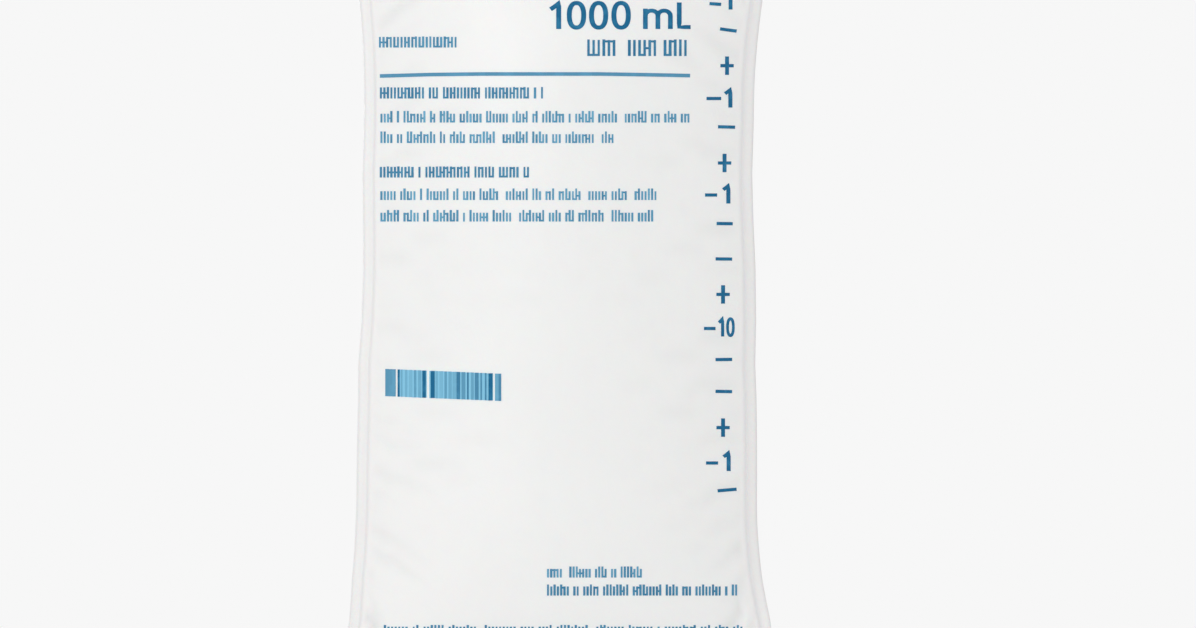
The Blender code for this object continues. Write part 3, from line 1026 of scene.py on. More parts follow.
    def at(self, shape: FilmShape, moves: ndarray, x: ndarray, z: ndarray) -> ndarray:
        """Return one film's values at any places, by a cubic spline, fading to none at the welds.

        Args:
            shape: the bag's rule.
            moves: that film's values by row and column.
            x: places across, from the bag's middle line.
            z: heights.

        Returns:
            The values, along a last axis.
        """
        edge = shape.inner(z)
        share = np.clip(x / edge, -1.0, 1.0)
        column = (np.arcsin(share * math.sin(self.spread)) / self.spread + 1.0) / 2.0 * self.columns
        row = np.interp(-z, -self.heights(shape), np.arange(self.rows + 1.0))
        total = np.zeros((*x.shape, moves.shape[-1]))
        row_low, column_low = np.floor(row).astype(int), np.floor(column).astype(int)
        for i, by_row in enumerate(self.spline(row - row_low)):
            rows = np.clip(row_low + i - 1, 0, self.rows)
            for j, by_column in enumerate(self.spline(column - column_low)):
                columns = np.clip(column_low + j - 1, 0, self.columns)
                total += (by_row * by_column)[..., None] * moves[rows, columns]
        inside = ramp01(np.minimum(edge - np.abs(x), shape.from_end(z)) / self.fade)
        return total * inside[..., None]

    @staticmethod
    def spline(t: ndarray) -> tuple[ndarray, ...]:
        """Return a cubic spline's four weights at a share of a step."""
        return ((1.0 - t) ** 3 / 6.0, (3.0 * t ** 3 - 6.0 * t ** 2 + 4.0) / 6.0,
                (-3.0 * t ** 3 + 3.0 * t ** 2 + 3.0 * t + 1.0) / 6.0, t ** 3 / 6.0)


@dataclass
class FilledBag:
    """The filled film bag: pillow, welds, header with its slot, and the two port sleeves.

    Sizes are in metres. weld_lean and side_shade_lines hold the left side's value and then the
    right's. stretch_ends are how far the closely spaced rows reach from the edges, and plain the
    heights between which the rows are farthest apart. Sleeves keep the film still where they are
    thicker than sleeve_still, and clear of the creases' painted shade where they are thicker than
    sleeve_clear. A sway is a slow wave: its height, metres across and up the bag for each radian,
    its phase, and how much further its phase is on the back film. rim_shade_line, side_shade_lines
    and end_shade_line are darker lines of painted shade at the rim and beside the welds; the right
    crease's is stronger and wider, as that side is turned from the key lamp.
    """

    finish: FilmFinish = FilmFinish()
    shape: FilmShape = FilmShape()
    inflation: Inflation = Inflation()
    columns: int = 124
    weld_columns: int = 11
    row_steps: tuple[float, ...] = (0.0004, 0.0008, 0.00045, 0.0010, 0.0017, 0.0010, 0.00042)
    stretch_ends: Point = (0.004, 0.003)
    plain: Point = (-0.050, -0.262)
    merge: float = 0.0000005
    sharp: float = 40.0
    tube_radius: float = 0.0048
    sleeve_wall: float = 0.0009
    sleeve_leave: float = 0.80
    sleeve_reach: float = 0.0125
    sleeve_top: float = 0.012
    sleeve_ease: float = 0.006
    sleeve_blend: float = 0.0012
    sleeve_still: float = 0.004
    sleeve_clear: float = 0.003
    bore: Point = (-0.2837, -0.3000)
    slot_length: float = 0.026
    slot_height: float = 0.008
    weld_lean: Point = (0.0011, 0.0034)
    lean_width: float = 1.3
    lean_reach: float = 0.045
    sways: tuple[tuple[float, ...], ...] = (
        (0.00030, 0.021, 0.034, 0.0, 2.1), (0.00026, -0.043, 0.017, 0.0, 4.2),
        (0.00018, 0.009, -0.028, 3.0, 2.1))
    sway_depth: float = 0.012
    edge_bead: SoftLine = SoftLine(0.00016, 0.0008, 0.00032)
    fill_bead: SoftLine = SoftLine(0.00024, 0.0009, 0.00042)
    end_only: float = 0.0035
    slot_bead: SoftLine = SoftLine(0.00018, 0.0016, 0.0006)
    header_bead: SoftLine = SoftLine(0.00014, 0.0, 0.0005)
    header_line: float = 0.0075
    rim_round: float = 0.00022
    weld_fade: float = 0.0006
    # Darker lines of painted shade at the rim and beside the welds, the right one stronger, away from the key
    # lamp
    rim_shade_line: SoftLine = SoftLine(0.9, 0.0, 0.00045)
    side_shade_lines: tuple[SoftLine, SoftLine] = (
        SoftLine(0.60, 0.0003, 0.00045), SoftLine(1.0, 0.0003, 0.00075))
    end_shade_line: SoftLine = SoftLine(0.55, 0.0003, 0.0005)

    def rows(self) -> ndarray:
        """Return the heights of the grid's rows, from the header's top edge down."""
        shape, (far, near) = self.shape, self.stretch_ends
        limits = (shape.header_top, shape.header_top - far, shape.fill_top + near, shape.fill_top - far,
                  *self.plain, shape.fill_bottom + far, shape.bottom)
        heights = [shape.header_top]
        for high, low, step in zip(limits, limits[1:], self.row_steps):
            count = max(round((high - low) / step), 1)
            heights += [high + (low - high) * (i + 1) / count for i in range(count)]
        return np.array(heights)

    def slot_distance(self, x: ndarray, z: ndarray) -> ndarray:
        """Return the distance from the hanging slot's edge.

        Args:
            x: places across the bag.
            z: heights.

        Returns:
            The distances, negative inside the slot.
        """
        radius = self.slot_height / 2.0
        beyond = np.maximum(np.abs(x) - (self.slot_length / 2.0 - radius), 0.0)
        return np.hypot(beyond, z + radius) - radius

    def weld_relief(self, x: ndarray, z: ndarray) -> ndarray:
        """Return the beads that the welding bars press up, in metres of extra half thickness.

        Args:
            x: places across, from the bag's middle line.
            z: heights.

        Returns:
            The beads' height.
        """
        shape = self.shape
        past_end = -shape.from_end(z)
        past_fill = np.maximum(np.abs(x) - shape.inner(z), past_end)
        past_fill = np.where(past_end > self.end_only, past_end, past_fill)
        bead = self.edge_bead.at(shape.from_rim(x, z)) + self.fill_bead.at(past_fill)
        bead += self.slot_bead.at(self.slot_distance(x, z))
        across = self.header_bead.at(np.abs(z - (shape.fill_top + self.header_line)))
        return bead + np.where(np.abs(x) > shape.outer(z) - shape.side_weld, 0.0, across)

    def sleeves(self, x: ndarray, z: ndarray) -> ndarray:
        """Return the half thickness of the film sleeves round the port tubes.

        Args:
            x: places across, from the bag's middle line.
            z: heights.

        Returns:
            The half thicknesses, 0 away from the sleeves.
        """
        radius = self.tube_radius + self.sleeve_wall
        leave = self.sleeve_leave * radius
        side = math.sqrt(radius ** 2 - leave ** 2)
        total = np.zeros_like(x)
        for place in (OUTLET_X, ADDITIVE_X):
            offset = np.abs(x - place)
            round_part = np.sqrt(np.maximum(radius ** 2 - offset ** 2, 0.0))
            share = np.clip((offset - leave) / (self.sleeve_reach - leave), 0.0, 1.0)
            skirt = side * (1.0 - share) ** 2
            total = np.maximum(total, np.where(offset < leave, round_part, skirt))
        return total * ramp01((self.shape.fill_bottom + self.sleeve_top - z) / self.sleeve_ease)

    def depth(self, x: ndarray, z: ndarray, side: int) -> ndarray:
        """Return one film's distance from the middle plane.

        Args:
            x: places across, from the bag's middle line.
            z: heights.
            side: 0 for the front film, 1 for the back.

        Returns:
            The distances in metres.
        """
        pillow = self.shape.pillow(x, z)
        sway = sum(height * np.sin(x / across + z / along + phase + turn * side)
                   for height, across, along, phase, turn in self.sways)
        film = np.maximum(pillow + sway * np.clip(pillow / self.sway_depth, 0.0, 1.0), 0.0)
        film = self.shape.half_film + film + self.weld_relief(x, z)
        sleeve = self.sleeves(x, z)
        meet = np.clip(1.0 - np.abs(film - sleeve) / self.sleeve_blend, 0.0, 1.0)
        return np.maximum(film, sleeve) + 0.25 * self.sleeve_blend * meet ** 2

    def across(self, z: float) -> ndarray:
        """Return the places of one row of the grid.

        Args:
            z: the row's height.

        Returns:
            Its places across the bag: weld, fluid, weld.
        """
        outer, inner = float(self.shape.outer(np.array(z))), float(self.shape.inner(np.array(z)))
        spread = self.inflation.spread
        body = inner * np.sin(spread * np.linspace(-1.0, 1.0, self.columns + 1)) / math.sin(spread)
        weld = inner + (outer - inner) * (np.arange(self.weld_columns) + 1.0) / self.weld_columns
        return np.concatenate((-weld[::-1], body, weld))

    def lean_back(self, x: ndarray, z: ndarray) -> ndarray:
        """Return how far the free side welds lean back beside the full pillow."""
        share = ramp01((np.abs(x) - self.shape.inner(z)) / (self.lean_width * self.shape.side_weld))
        return np.where(x < 0.0, *self.weld_lean) * share * ramp01(self.shape.from_end(z) / self.lean_reach)

    def films(self, blown: ndarray) -> list[ndarray]:
        """Return the points of the front and the back film.

        Args:
            blown: the simulation's moves of both films.

        Returns:
            For each film, its points by row and column.
        """
        heights = self.rows()
        xs = np.array([self.across(z) for z in heights])
        zs = np.repeat(heights[:, None], xs.shape[1], axis=1)
        shift, lean = self.shape.middle(zs), self.lean_back(xs, zs)
        free = 1.0 - ramp01(self.sleeves(xs, zs) / self.sleeve_still)
        films = []
        for side, sign in enumerate((-1.0, 1.0)):
            moves = self.inflation.at(self.shape, blown[side], xs, zs) * free[..., None]
            x, y, z, _ = np.moveaxis(moves, -1, 0)
            out = np.maximum(self.depth(xs, zs, side) + sign * y, self.shape.half_film)
            films.append(np.stack((xs + shift + x, lean + sign * out, zs + z), axis=-1))
        return films

    def rim_points(self, front: ndarray, back: ndarray) -> ndarray:
        """Return the points of the rim's rounding, midway between the edges of both films.

        Args:
            front: the points of the front film's edge, in order.
            back: those of the back film's edge.

        Returns:
            The points, in the same order.
        """
        loop = front[:, [0, 2]]
        along = np.roll(loop, -1, axis=0) - np.roll(loop, 1, axis=0)
        out = np.stack((-along[:, 1], along[:, 0]), axis=-1) / np.hypot(along[:, 0], along[:, 1])[:, None]
        edge = loop + self.rim_round * out
        edge[:, 1] = np.minimum(edge[:, 1], self.shape.header_top)
        return np.stack((edge[:, 0], (front[:, 1] + back[:, 1]) / 2.0, edge[:, 1]), axis=-1)

    def film_mesh(self, blown: ndarray) -> Mesh:
        """Return both films as one closed grid with a rounded rim.

        Args:
            blown: the simulation's moves of both films.

        Returns:
            The closed mesh.
        """
        films = self.films(blown)
        rows, columns = films[0].shape[:2]
        count = rows * columns
        index = np.arange(count).reshape(rows, columns)
        rim = np.concatenate((index[0, :-1], index[:-1, -1], index[-1, :0:-1], index[:0:-1, 0]))
        middle = 2 * count + np.arange(len(rim))
        front, back = (film.reshape(-1, 3) for film in films)
        quads = grid_faces(index)
        faces = quads.tolist() + (quads[:, ::-1] + count).tolist()
        for one, other in ((rim, middle), (middle, rim + count)):
            faces += np.stack((one, np.roll(one, -1), np.roll(other, -1), other), axis=-1).tolist()
        points = np.concatenate((front, back, self.rim_points(front[rim], back[rim])))
        mesh = make_mesh("film_bag", points.tolist(), faces)
        tidy_normals(mesh, self.merge)
        return mesh

    def punch(self) -> Mesh:
        """Return what is cut out: the hanging slot and the bores of the two sleeves."""
        radius = self.slot_height / 2.0
        slot = round_bar((0.0, -radius), self.slot_length / 2.0 - radius, radius, 28)
        meshes = [plate("slot", slot, 0.006)]
        top, end = self.bore
        for place in (OUTLET_X, ADDITIVE_X):
            profile = [(0.0, top, 0.0), (self.tube_radius, top, 0.0), (self.tube_radius, end, 0.0),
                       (0.0, end, 0.0)]
            meshes.append(lathe("bore", profile, False, place, 64))
        return join_meshes("punch", meshes)

    def mark(self, mesh: Mesh, blown: ndarray) -> None:
        """Store the attributes that the film's finish reads: weld, line at the weld's edges, and fold.

        line and fold are painted shade: darker lines along the weld's edges, and shade in the folds.

        Args:
            mesh: the bag's mesh.
            blown: the simulation's moves of both films.
        """
        x, y, z = points_of(mesh).T
        shape = self.shape
        x = x - shape.middle(z)
        past_side, past_end = np.abs(x) - shape.inner(z), -shape.from_end(z)
        weld = np.clip(np.maximum(past_side, past_end) / self.weld_fade, 0.0, 1.0)
        # Painted shade: darker lines beside the welds, stronger on the right, away from the key lamp
        sides = np.where(x < 0.0, *(weld_shade.at(past_side) for weld_shade in self.side_shade_lines))
        weld_shade = np.where(past_end < 0.0, sides, 0.0)
        weld_shade += np.where(past_side < 0.0, self.end_shade_line.at(past_end), 0.0)
        weld_shade = weld_shade * (1.0 - ramp01(self.sleeves(x, z) / self.sleeve_clear))
        # Painted shade: a darker line along the rim
        edge = self.rim_shade_line.at(np.maximum(shape.from_rim(x, z), 0.0))
        # Painted shade in the folds, as deep as each fold
        folds = [self.inflation.at(shape, film, x, z)[..., 3] for film in blown]
        for name, values in (("weld", weld), ("line", np.clip(edge + weld_shade, 0.0, 1.0)),
                             ("fold", np.where(y < 0.0, *folds))):
            made = mesh.attributes.new(name, "FLOAT", "POINT")
            made.data.foreach_set("value", values.astype(np.float32))

    def build(self) -> Object:
        """Return the finished bag, which replaces its solid."""
        blown = self.inflation.moves(self.shape)
        bag = add_object("film_bag", self.film_mesh(blown), self.finish.make())
        tool = add_object("punch", self.punch())
        cut = bag.modifiers.new("Punch", "BOOLEAN")
        cut.operation, cut.solver, cut.object = "DIFFERENCE", "EXACT", tool
        settle(bag)
        bpy.data.objects.remove(tool)
        self.mark(bag.data, blown)
        shade(bag.data, self.sharp)
        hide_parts("bag")
        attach(bag, "filled_bag")
        return bag


# Print


@dataclass(frozen=True)
class PhotoView:
    """Where the photograph was taken from, and how its pixels lie on the bag's middle plane."""

    width: int = 1196
    height: int = 628
    pixels_per_metre: float = 2940.0
    middle_column: float = 558.0
    lowest_height: float = -0.2747
    lens: float = 120.0
    sensor: float = 36.0

    @property
    def eye(self) -> Vector:
        """The camera's place."""
        distance = self.width / self.pixels_per_metre * self.lens / self.sensor
        x = (self.width / 2.0 - self.middle_column) / self.pixels_per_metre
        return Vector((x, -distance, self.lowest_height + self.height / 2.0 / self.pixels_per_metre))

    @property
    def unit(self) -> float:
        """A pixel's size on the middle plane."""
        return 1.0 / self.pixels_per_metre

    def place(self, column: float, row: float) -> Point:
        """Return the X and Z on the middle plane behind a pixel."""
        x = (column - self.middle_column) / self.pixels_per_metre
        return x, self.lowest_height + (self.height - row) / self.pixels_per_metre


class Mark(Enum):
    """The plain shapes of the print: pen strokes in a box one unit wide and high, or a curved shape."""

    DASH = (((0.0, 0.5), (1.0, 0.5)),)
    PLUS = (((0.0, 0.5), (1.0, 0.5)), ((0.5, 0.0), (0.5, 1.0)))
    ONE = (((1.0, 1.0), (1.0, 0.0), (0.52, 0.17), (0.0, 0.27)),)
    ELL = (((0.0, 0.0), (0.0, 1.0), (1.0, 1.0)),)
    NOUGHT = "oval"
    EM = "stem and arches"


@dataclass(frozen=True)
class Stroke:
    """A pen stroke of the print, in pixels of the photograph.

    wide is the thickness of its upright stretches and tall that of its level ones. tone is how far
    its ink is towards the lighter tint.
    """

    path: tuple[Point, ...]
    wide: float
    tall: float
    closed: bool = False
    tone: float = 0.0


@dataclass(frozen=True)
class PenMark:
    """One figure, letter of the unit, dash or cross, drawn with a pen, in pixels of the photograph.

    drop is how much lower its right end is than its left. wide and tall are as in its strokes.
    """

    kind: Mark
    left: float
    right: float
    top: float
    bottom: float
    drop: float = 0.0
    wide: float = 3.8
    tall: float = 3.2

    def stroke(self, path: Iterable[Point], closed: bool = False) -> Stroke:
        """Return one of its strokes."""
        return Stroke(tuple(path), self.wide, self.tall, closed)

    def strokes(self) -> list[Stroke]:
        """Return its pen strokes."""
        if self.kind is Mark.NOUGHT:
            return [self.oval()]
        if self.kind is Mark.EM:
            return self.stem_and_arches()
        width, height = self.right - self.left, self.bottom - self.top
        return [self.stroke((self.left + u * width, self.top + v * height + self.drop * (u - 0.5))
                            for u, v in path) for path in self.kind.value]

    def oval(self) -> Stroke:
        """Return the loop of a nought, which is a little fuller than an ellipse."""
        half_x = (self.right - self.left - self.wide) / 2.0
        half_y = (self.bottom - self.top - self.tall) / 2.0
        x, y = (self.left + self.right) / 2.0, (self.top + self.bottom) / 2.0
        path = []
        for turn in np.linspace(0.0, math.tau, OVAL_STEPS + 1)[:-1]:
            across, down = math.cos(turn), math.sin(turn)
            path.append((x + half_x * math.copysign(abs(across) ** OVAL_POWER, across),
                         y + half_y * math.copysign(abs(down) ** OVAL_POWER, down)))
        return self.stroke(path, True)

    def stem_and_arches(self) -> list[Stroke]:
        """Return the strokes of the unit sign's first letter."""
        left, right = self.left + self.wide / 2.0, self.right - self.wide / 2.0
        span, high = (right - left) / 2.0, self.top + self.tall / 2.0
        strokes = [self.stroke(((left, self.top), (left, self.bottom)))]
        for number in (0, 1):
            centre = left + span * (number + 0.5)
            arch = [(centre + 0.5 * span * math.cos(t), high + ARCH_RISE * span * (1.0 - math.sin(t)))
                    for t in np.linspace(math.pi, 0.0, ARCH_STEPS + 1)]
            strokes.append(self.stroke([*arch, (centre + span / 2.0, self.bottom)]))
        return strokes


@dataclass(frozen=True)
class WordRow:
    """One row of small print, as a row of plain strokes that can't be read, in pixels.

    low is the height of its low strokes as a share of that of its tall ones, pitch the distance
    from stroke to stroke, and pen a stroke's width. word is the mean length of its words in strokes.
    tone is how far its ink is towards the lighter tint, and tied the share of neighbouring strokes
    that a level stroke ties.
    """

    left: float
    right: float
    top: float
    bottom: float
    low: float
    pitch: float
    pen: float
    word: float
    seed: int
    tone: float
    tied: float = 0.36


@dataclass(frozen=True)
class BarGroup:
    """Bars of the block that stand side by side, from a left to a right edge in pixels.

    narrow and broad are the bars' least and greatest widths as shares of a step, and dark and pale
    the least and greatest tones. lift is how much higher than the ink below they stand, as a share.
    """

    left: float
    right: float
    count: int = 1
    narrow: float = 1.0
    broad: float = 1.0
    dark: float = 0.0
    pale: float = 0.0
    lift: float = 0.0


@dataclass
class PrintedFront:
    """The print on the front film: capacity, rule, rows of small print, bar block and volume scale.

    Lengths named lift, sink and sight are in metres, and all others are in pixels of the photograph.
    The spreads are the least and the most that a stroke has of its row's value. bar_row is the row
    of the bar block's middle at its left edge, and bar_groups go from the field below to the bars on top.
    """

    film: Object
    view: PhotoView = PhotoView()
    finish: InkFinish = InkFinish()
    lift: float = 0.00008
    sink: float = 0.00006
    sight: float = 3.0
    ribbon_step: float = 4.0
    capacity: tuple[PenMark, ...] = (
        PenMark(Mark.ONE, 550.5, 558.7, 2.0, 29.0, wide=5.0, tall=4.1),
        PenMark(Mark.NOUGHT, 566.8, 586.2, 1.0, 29.6, wide=5.0, tall=4.1),
        PenMark(Mark.NOUGHT, 589.0, 608.2, 1.0, 29.6, wide=5.0, tall=4.1),
        PenMark(Mark.NOUGHT, 611.4, 630.8, 1.0, 29.6, wide=5.0, tall=4.1),
        PenMark(Mark.EM, 643.0, 672.7, 8.7, 29.0, wide=4.7, tall=3.9),
        PenMark(Mark.ELL, 679.2, 690.5, 2.5, 27.1, wide=4.7, tall=4.0))
    rule: Stroke = Stroke(
        ((380.0, 76.0), (430.0, 74.6), (480.0, 74.0), (600.0, 74.0), (650.0, 74.8), (690.0, 75.6)),
        3.6, 3.6, tone=0.34)
    rows: tuple[WordRow, ...] = (
        WordRow(380.0, 460.5, 36.5, 47.5, 0.96, 3.6, 2.0, 64.3, 3, 0.30, 0.62),
        WordRow(588.5, 692.0, 39.5, 56.0, 0.97, 5.1, 2.5, 8.1, 4, 0.16, 0.60),
        WordRow(381.0, 546.0, 87.0, 98.5, 0.96, 3.5, 2.1, 15.7, 5, 0.20, 0.50),
        WordRow(381.5, 693.0, 111.0, 122.5, 0.76, 3.3, 1.95, 8.4, 6, 0.40),
        WordRow(381.5, 617.0, 131.5, 143.0, 0.76, 3.3, 1.95, 9.6, 7, 0.38),
        WordRow(381.0, 534.5, 166.5, 177.5, 0.96, 3.5, 2.1, 14.2, 8, 0.20, 0.50),
        WordRow(381.5, 661.0, 188.5, 200.0, 0.76, 3.3, 1.95, 7.9, 9, 0.37),
        WordRow(381.5, 657.0, 210.0, 221.5, 0.76, 3.3, 1.95, 8.8, 10, 0.37),
        WordRow(548.0, 646.0, 566.5, 577.5, 0.78, 3.2, 2.1, 8.3, 21, 0.34),
        WordRow(548.0, 742.0, 584.5, 595.5, 0.82, 3.3, 2.1, 9.3, 12, 0.20),
        WordRow(385.0, 745.0, 625.0, 637.0, 0.86, 3.6, 2.1, 9.9, 13, 0.22))
    tall_share: float = 0.3
    pen_spread: Point = (0.85, 1.15)
    tie_pen: float = 0.85
    tone_spread: Point = (0.6, 1.4)
    bar_left: float = 385.4
    bar_row: float = 382.5
    bar_slope: float = 0.042
    bar_height: float = 27.2
    bar_seed: int = 24
    bar_groups: tuple[BarGroup, ...] = (
        BarGroup(398.2, 426.8, 4, dark=0.86, pale=1.0), BarGroup(429.4, 493.0, 9, dark=0.86, pale=1.0),
        BarGroup(495.0, 501.0, 1, dark=0.50, pale=0.60), BarGroup(385.4, 395.8, 3, dark=0.20, pale=0.50),
        BarGroup(399.5, 426.5, 6, 0.35, 0.95, 0.10, 1.0, 0.3),
        BarGroup(430.2, 492.4, 14, 0.35, 0.98, 0.10, 1.0, 0.3),
        BarGroup(397.8, 399.8, lift=0.5), BarGroup(422.6, 426.0, lift=0.5), BarGroup(430.8, 434.8, lift=0.5),
        BarGroup(456.8, 459.8, dark=0.1, pale=0.2, lift=0.5), BarGroup(488.6, 492.6, lift=0.5),
        BarGroup(498.8, 501.2, dark=0.2, pale=0.3, lift=0.5))

    @staticmethod
    def scale_marks() -> list[PenMark]:
        """Return the volume scale's marks: dashes, crosses, and dashes with a figure."""
        marks = [PenMark(Mark.DASH, 709.5, 721.0, 4.0, 4.0, 0.8), PenMark(Mark.ONE, 724.5, 730.5, -10.0, 9.5)]
        dashes = ((720.0, 736.5, 30.0, 2.2), (718.0, 735.0, 127.0, 0.5), (716.6, 732.6, 223.6, 0.2),
                  (715.6, 732.0, 259.0, 0.2), (715.5, 732.0, 359.5, -0.2), (715.5, 732.0, 391.5, 0.3),
                  (717.6, 736.5, 490.0, -1.6))
        marks += [PenMark(Mark.DASH, left, right, row, row, drop) for left, right, row, drop in dashes]
        half_x, half_y = 6.6, 9.2
        crosses = ((727.0, 65.7), (724.5, 163.0), (723.0, 294.4), (723.0, 427.6))
        marks += [PenMark(Mark.PLUS, column - half_x, column + half_x, row - half_y, row + half_y)
                  for column, row in crosses]
        figures = (((706.5, 721.0, 98.5), (725.0, 730.3, 88.5, 107.5), 4.0),
                   ((705.0, 717.0, 195.0), (723.2, 728.3, 184.5, 203.5), 4.0),
                   ((706.0, 718.0, 463.0), (723.6, 728.6, 451.5, 471.0), 4.0),
                   ((704.0, 715.4, 328.5), (718.9, 722.6, 317.5, 336.5), 3.0))
        for (left, right, row), box, wide in figures:
            marks += [PenMark(Mark.DASH, left, right, row, row), PenMark(Mark.ONE, *box, wide=wide)]
        return [*marks, PenMark(Mark.NOUGHT, 726.2, 734.6, 317.3, 337.0, wide=2.6)]

    def lay_tree(self) -> Growth:
        """Return the tree that lays flat print on the film along the camera's lines of sight."""
        tree = Growth("lay_on_film", Geometry="Geometry", Object="Film", Vector="Eye", Float="Lift Sink",
                      Material="Ink")
        film = tree.node("GeometryNodeObjectInfo", {"transform_space": "RELATIVE"},
                         {"Object": tree.size("Film")}, "Geometry")
        sight = tree.vector("SUBTRACT", tree.node("GeometryNodeInputPosition"), tree.size("Eye"))
        aim = tree.node("ShaderNodeVectorMath", {"operation": "NORMALIZE"}, {0: sight})
        hit = tree.node("GeometryNodeRaycast", None,
                        {"Target Geometry": film, "Source Position": tree.size("Eye"),
                         "Ray Direction": aim, "Ray Length": self.sight}, "Hit Position")
        away = tree.read("face") * (tree.size("Lift") + tree.size("Sink")) - tree.size("Sink")
        place = tree.vector("ADD", hit, tree.scaled(hit.out("Hit Normal"), away))
        tree.close(tree.moved(tree.size("Geometry"), Position=place), tree.size("Ink"))
        return tree

    def row_tree(self) -> Growth:
        """Return the tree that fills one row of small print with upright and level strokes."""
        tree = Growth("small_print_row", Int="Count Seed", Vector="Start", Material="Ink",
                      Float="Pitch Pen Low Tall Share Word Tied Tone")
        pitch, pen, low = tree.size("Pitch"), tree.size("Pen"), tree.size("Low")
        word, seed = tree.size("Word"), tree.size("Seed")
        line = tree.line(tree.combine(pitch))
        index = tree.node("GeometryNodeInputIndex")

        def gap(ahead: float) -> Signal:
            """Return where the spaces between words are.

            Args:
                ahead: how many strokes ahead it looks.

            Returns:
                1 at a space, or else 0.
            """
            place = index + ahead
            one = ((place + 3.0) % word) < 1.0
            two = ((place + seed * 1.7) % (word * 1.618)) < 1.0
            return tree.math("MAXIMUM", one, two)

        kept = tree.node("GeometryNodeDeleteGeometry", {"domain": "POINT"},
                         {"Geometry": line, "Selection": gap(0.0)})
        is_tall = tree.random(0.0, 1.0, seed + 11.0) < tree.size("Share")
        height = low + is_tall * (tree.size("Tall") - low)
        upright = tree.boxes(kept, 0.0, 3, (pen * tree.random(*self.pen_spread, seed + 12.0), height))
        stored = tree.store(line, "open", tree.math("MAXIMUM", gap(0.0), gap(1.0)))
        followed = index < tree.size("Count") - 1.5
        tied = tree.random(0.0, 1.0, seed + 13.0) < tree.size("Tied")
        chosen = (1.0 - tree.read("open")) * followed * tied
        level = tree.math("FLOOR", tree.random(0.0, 2.999, seed + 14.0)) * 0.5 * (low - pen)
        between = tree.moved(stored, Offset=tree.combine(pitch * 0.5, 0.0, level))
        ties = tree.boxes(between, 0.0, 3, (pitch, pen * self.tie_pen), Selection=chosen)
        both = tree.node("GeometryNodeJoinGeometry", None, {"Geometry": [upright, ties]})
        tone = tree.size("Tone") * tree.random(*self.tone_spread, seed + 15.0)
        tree.close(tree.store(both, "tone", tone, "INSTANCE"), tree.size("Ink"))
        return tree

    def bar_tree(self) -> Growth:
        """Return the tree that sets bars of random width and tone side by side."""
        tree = Growth("bar_block", Int="Count Seed", Vector="Start Step", Material="Ink",
                      Float="Height Narrow Broad Dark Pale")
        narrow, seed = tree.size("Narrow"), tree.size("Seed")
        chance = tree.random(0.0, 1.0, seed)
        width = narrow + chance * chance * (tree.size("Broad") - narrow)
        bars = tree.boxes(tree.line(tree.size("Step")), -0.5, 11, (width, tree.size("Height")))
        tone = tree.random(tree.size("Dark"), tree.size("Pale"), seed + 5.0)
        tree.close(tree.store(bars, "tone", tone, "INSTANCE"), tree.size("Ink"))
        return tree

    def centre_line(self, stroke: Stroke) -> tuple[ndarray, ndarray]:
        """Return a stroke's path in short steps.

        Args:
            stroke: the pen stroke.

        Returns:
            Its points, and the direction of the path at each.
        """
        path = np.array(stroke.path, float)
        if stroke.closed:
            path = np.vstack((path, path[:1]))
        pieces = []
        for a, b in zip(path[:-1], path[1:]):
            count = max(int(np.hypot(*(b - a)) / self.ribbon_step), 1)
            pieces += [a + (b - a) * i / count for i in range(count)]
        if not stroke.closed:
            pieces.append(path[-1])
        line = np.array(pieces)
        if stroke.closed:
            along = np.roll(line, -1, axis=0) - np.roll(line, 1, axis=0)
        else:
            steps = np.diff(line, axis=0)
            steps /= np.hypot(steps[:, 0], steps[:, 1])[:, None]
            along = np.vstack((steps[:1], steps[:-1] + steps[1:], steps[-1:]))
        return line, along / np.maximum(np.hypot(along[:, 0], along[:, 1]), 1e-6)[:, None]

    def ribbon(self, stroke: Stroke, start: int) -> tuple[list, list, list]:
        """Return a stroke as a closed flat ribbon on the middle plane.

        Args:
            stroke: the pen stroke.
            start: the number of its first point in the mesh.

        Returns:
            Its points, its faces and its face attribute.
        """
        line, along = self.centre_line(stroke)
        side = np.stack((-along[:, 1] * stroke.wide / 2.0, along[:, 0] * stroke.tall / 2.0), axis=-1)
        points, faces, tags = [], [], []
        for at, off in zip(line, side):
            for edge in (at + off, at - off):
                x, z = self.view.place(*edge)
                points += [(x, 0.0, z), (x, 0.0, z)]
                tags += [1.0, 0.0]
        count = len(line)
        for i in range(count if stroke.closed else count - 1):
            a, b = start + 4 * i, start + 4 * ((i + 1) % count)
            faces += [(a, b, b + 2, a + 2), (a + 1, a + 3, b + 3, b + 1),
                      (a, a + 1, b + 1, b), (a + 2, b + 2, b + 3, a + 3)]
        if not stroke.closed:
            a, b = start, start + 4 * (count - 1)
            faces += [(a, a + 2, a + 3, a + 1), (b, b + 1, b + 3, b + 2)]
        return points, faces, tags

    def pen_piece(self, name: str, strokes: list[Stroke]) -> Object:
        """Return pen strokes as one flat piece of print on the middle plane.

        Args:
            name: the piece's name.
            strokes: its strokes.

        Returns:
            The flat piece.
        """
        points, faces, tags, tones = [], [], [], []
        for stroke in strokes:
            more = self.ribbon(stroke, len(points))
            points += more[0]
            faces += more[1]
            tags += more[2]
            tones += [stroke.tone] * len(more[0])
        mesh = make_mesh(name, points, faces)
        mesh.attributes.new("face", "FLOAT", "POINT").data.foreach_set("value", tags)
        mesh.attributes.new("tone", "FLOAT", "POINT").data.foreach_set("value", tones)
        return add_object(name, mesh)

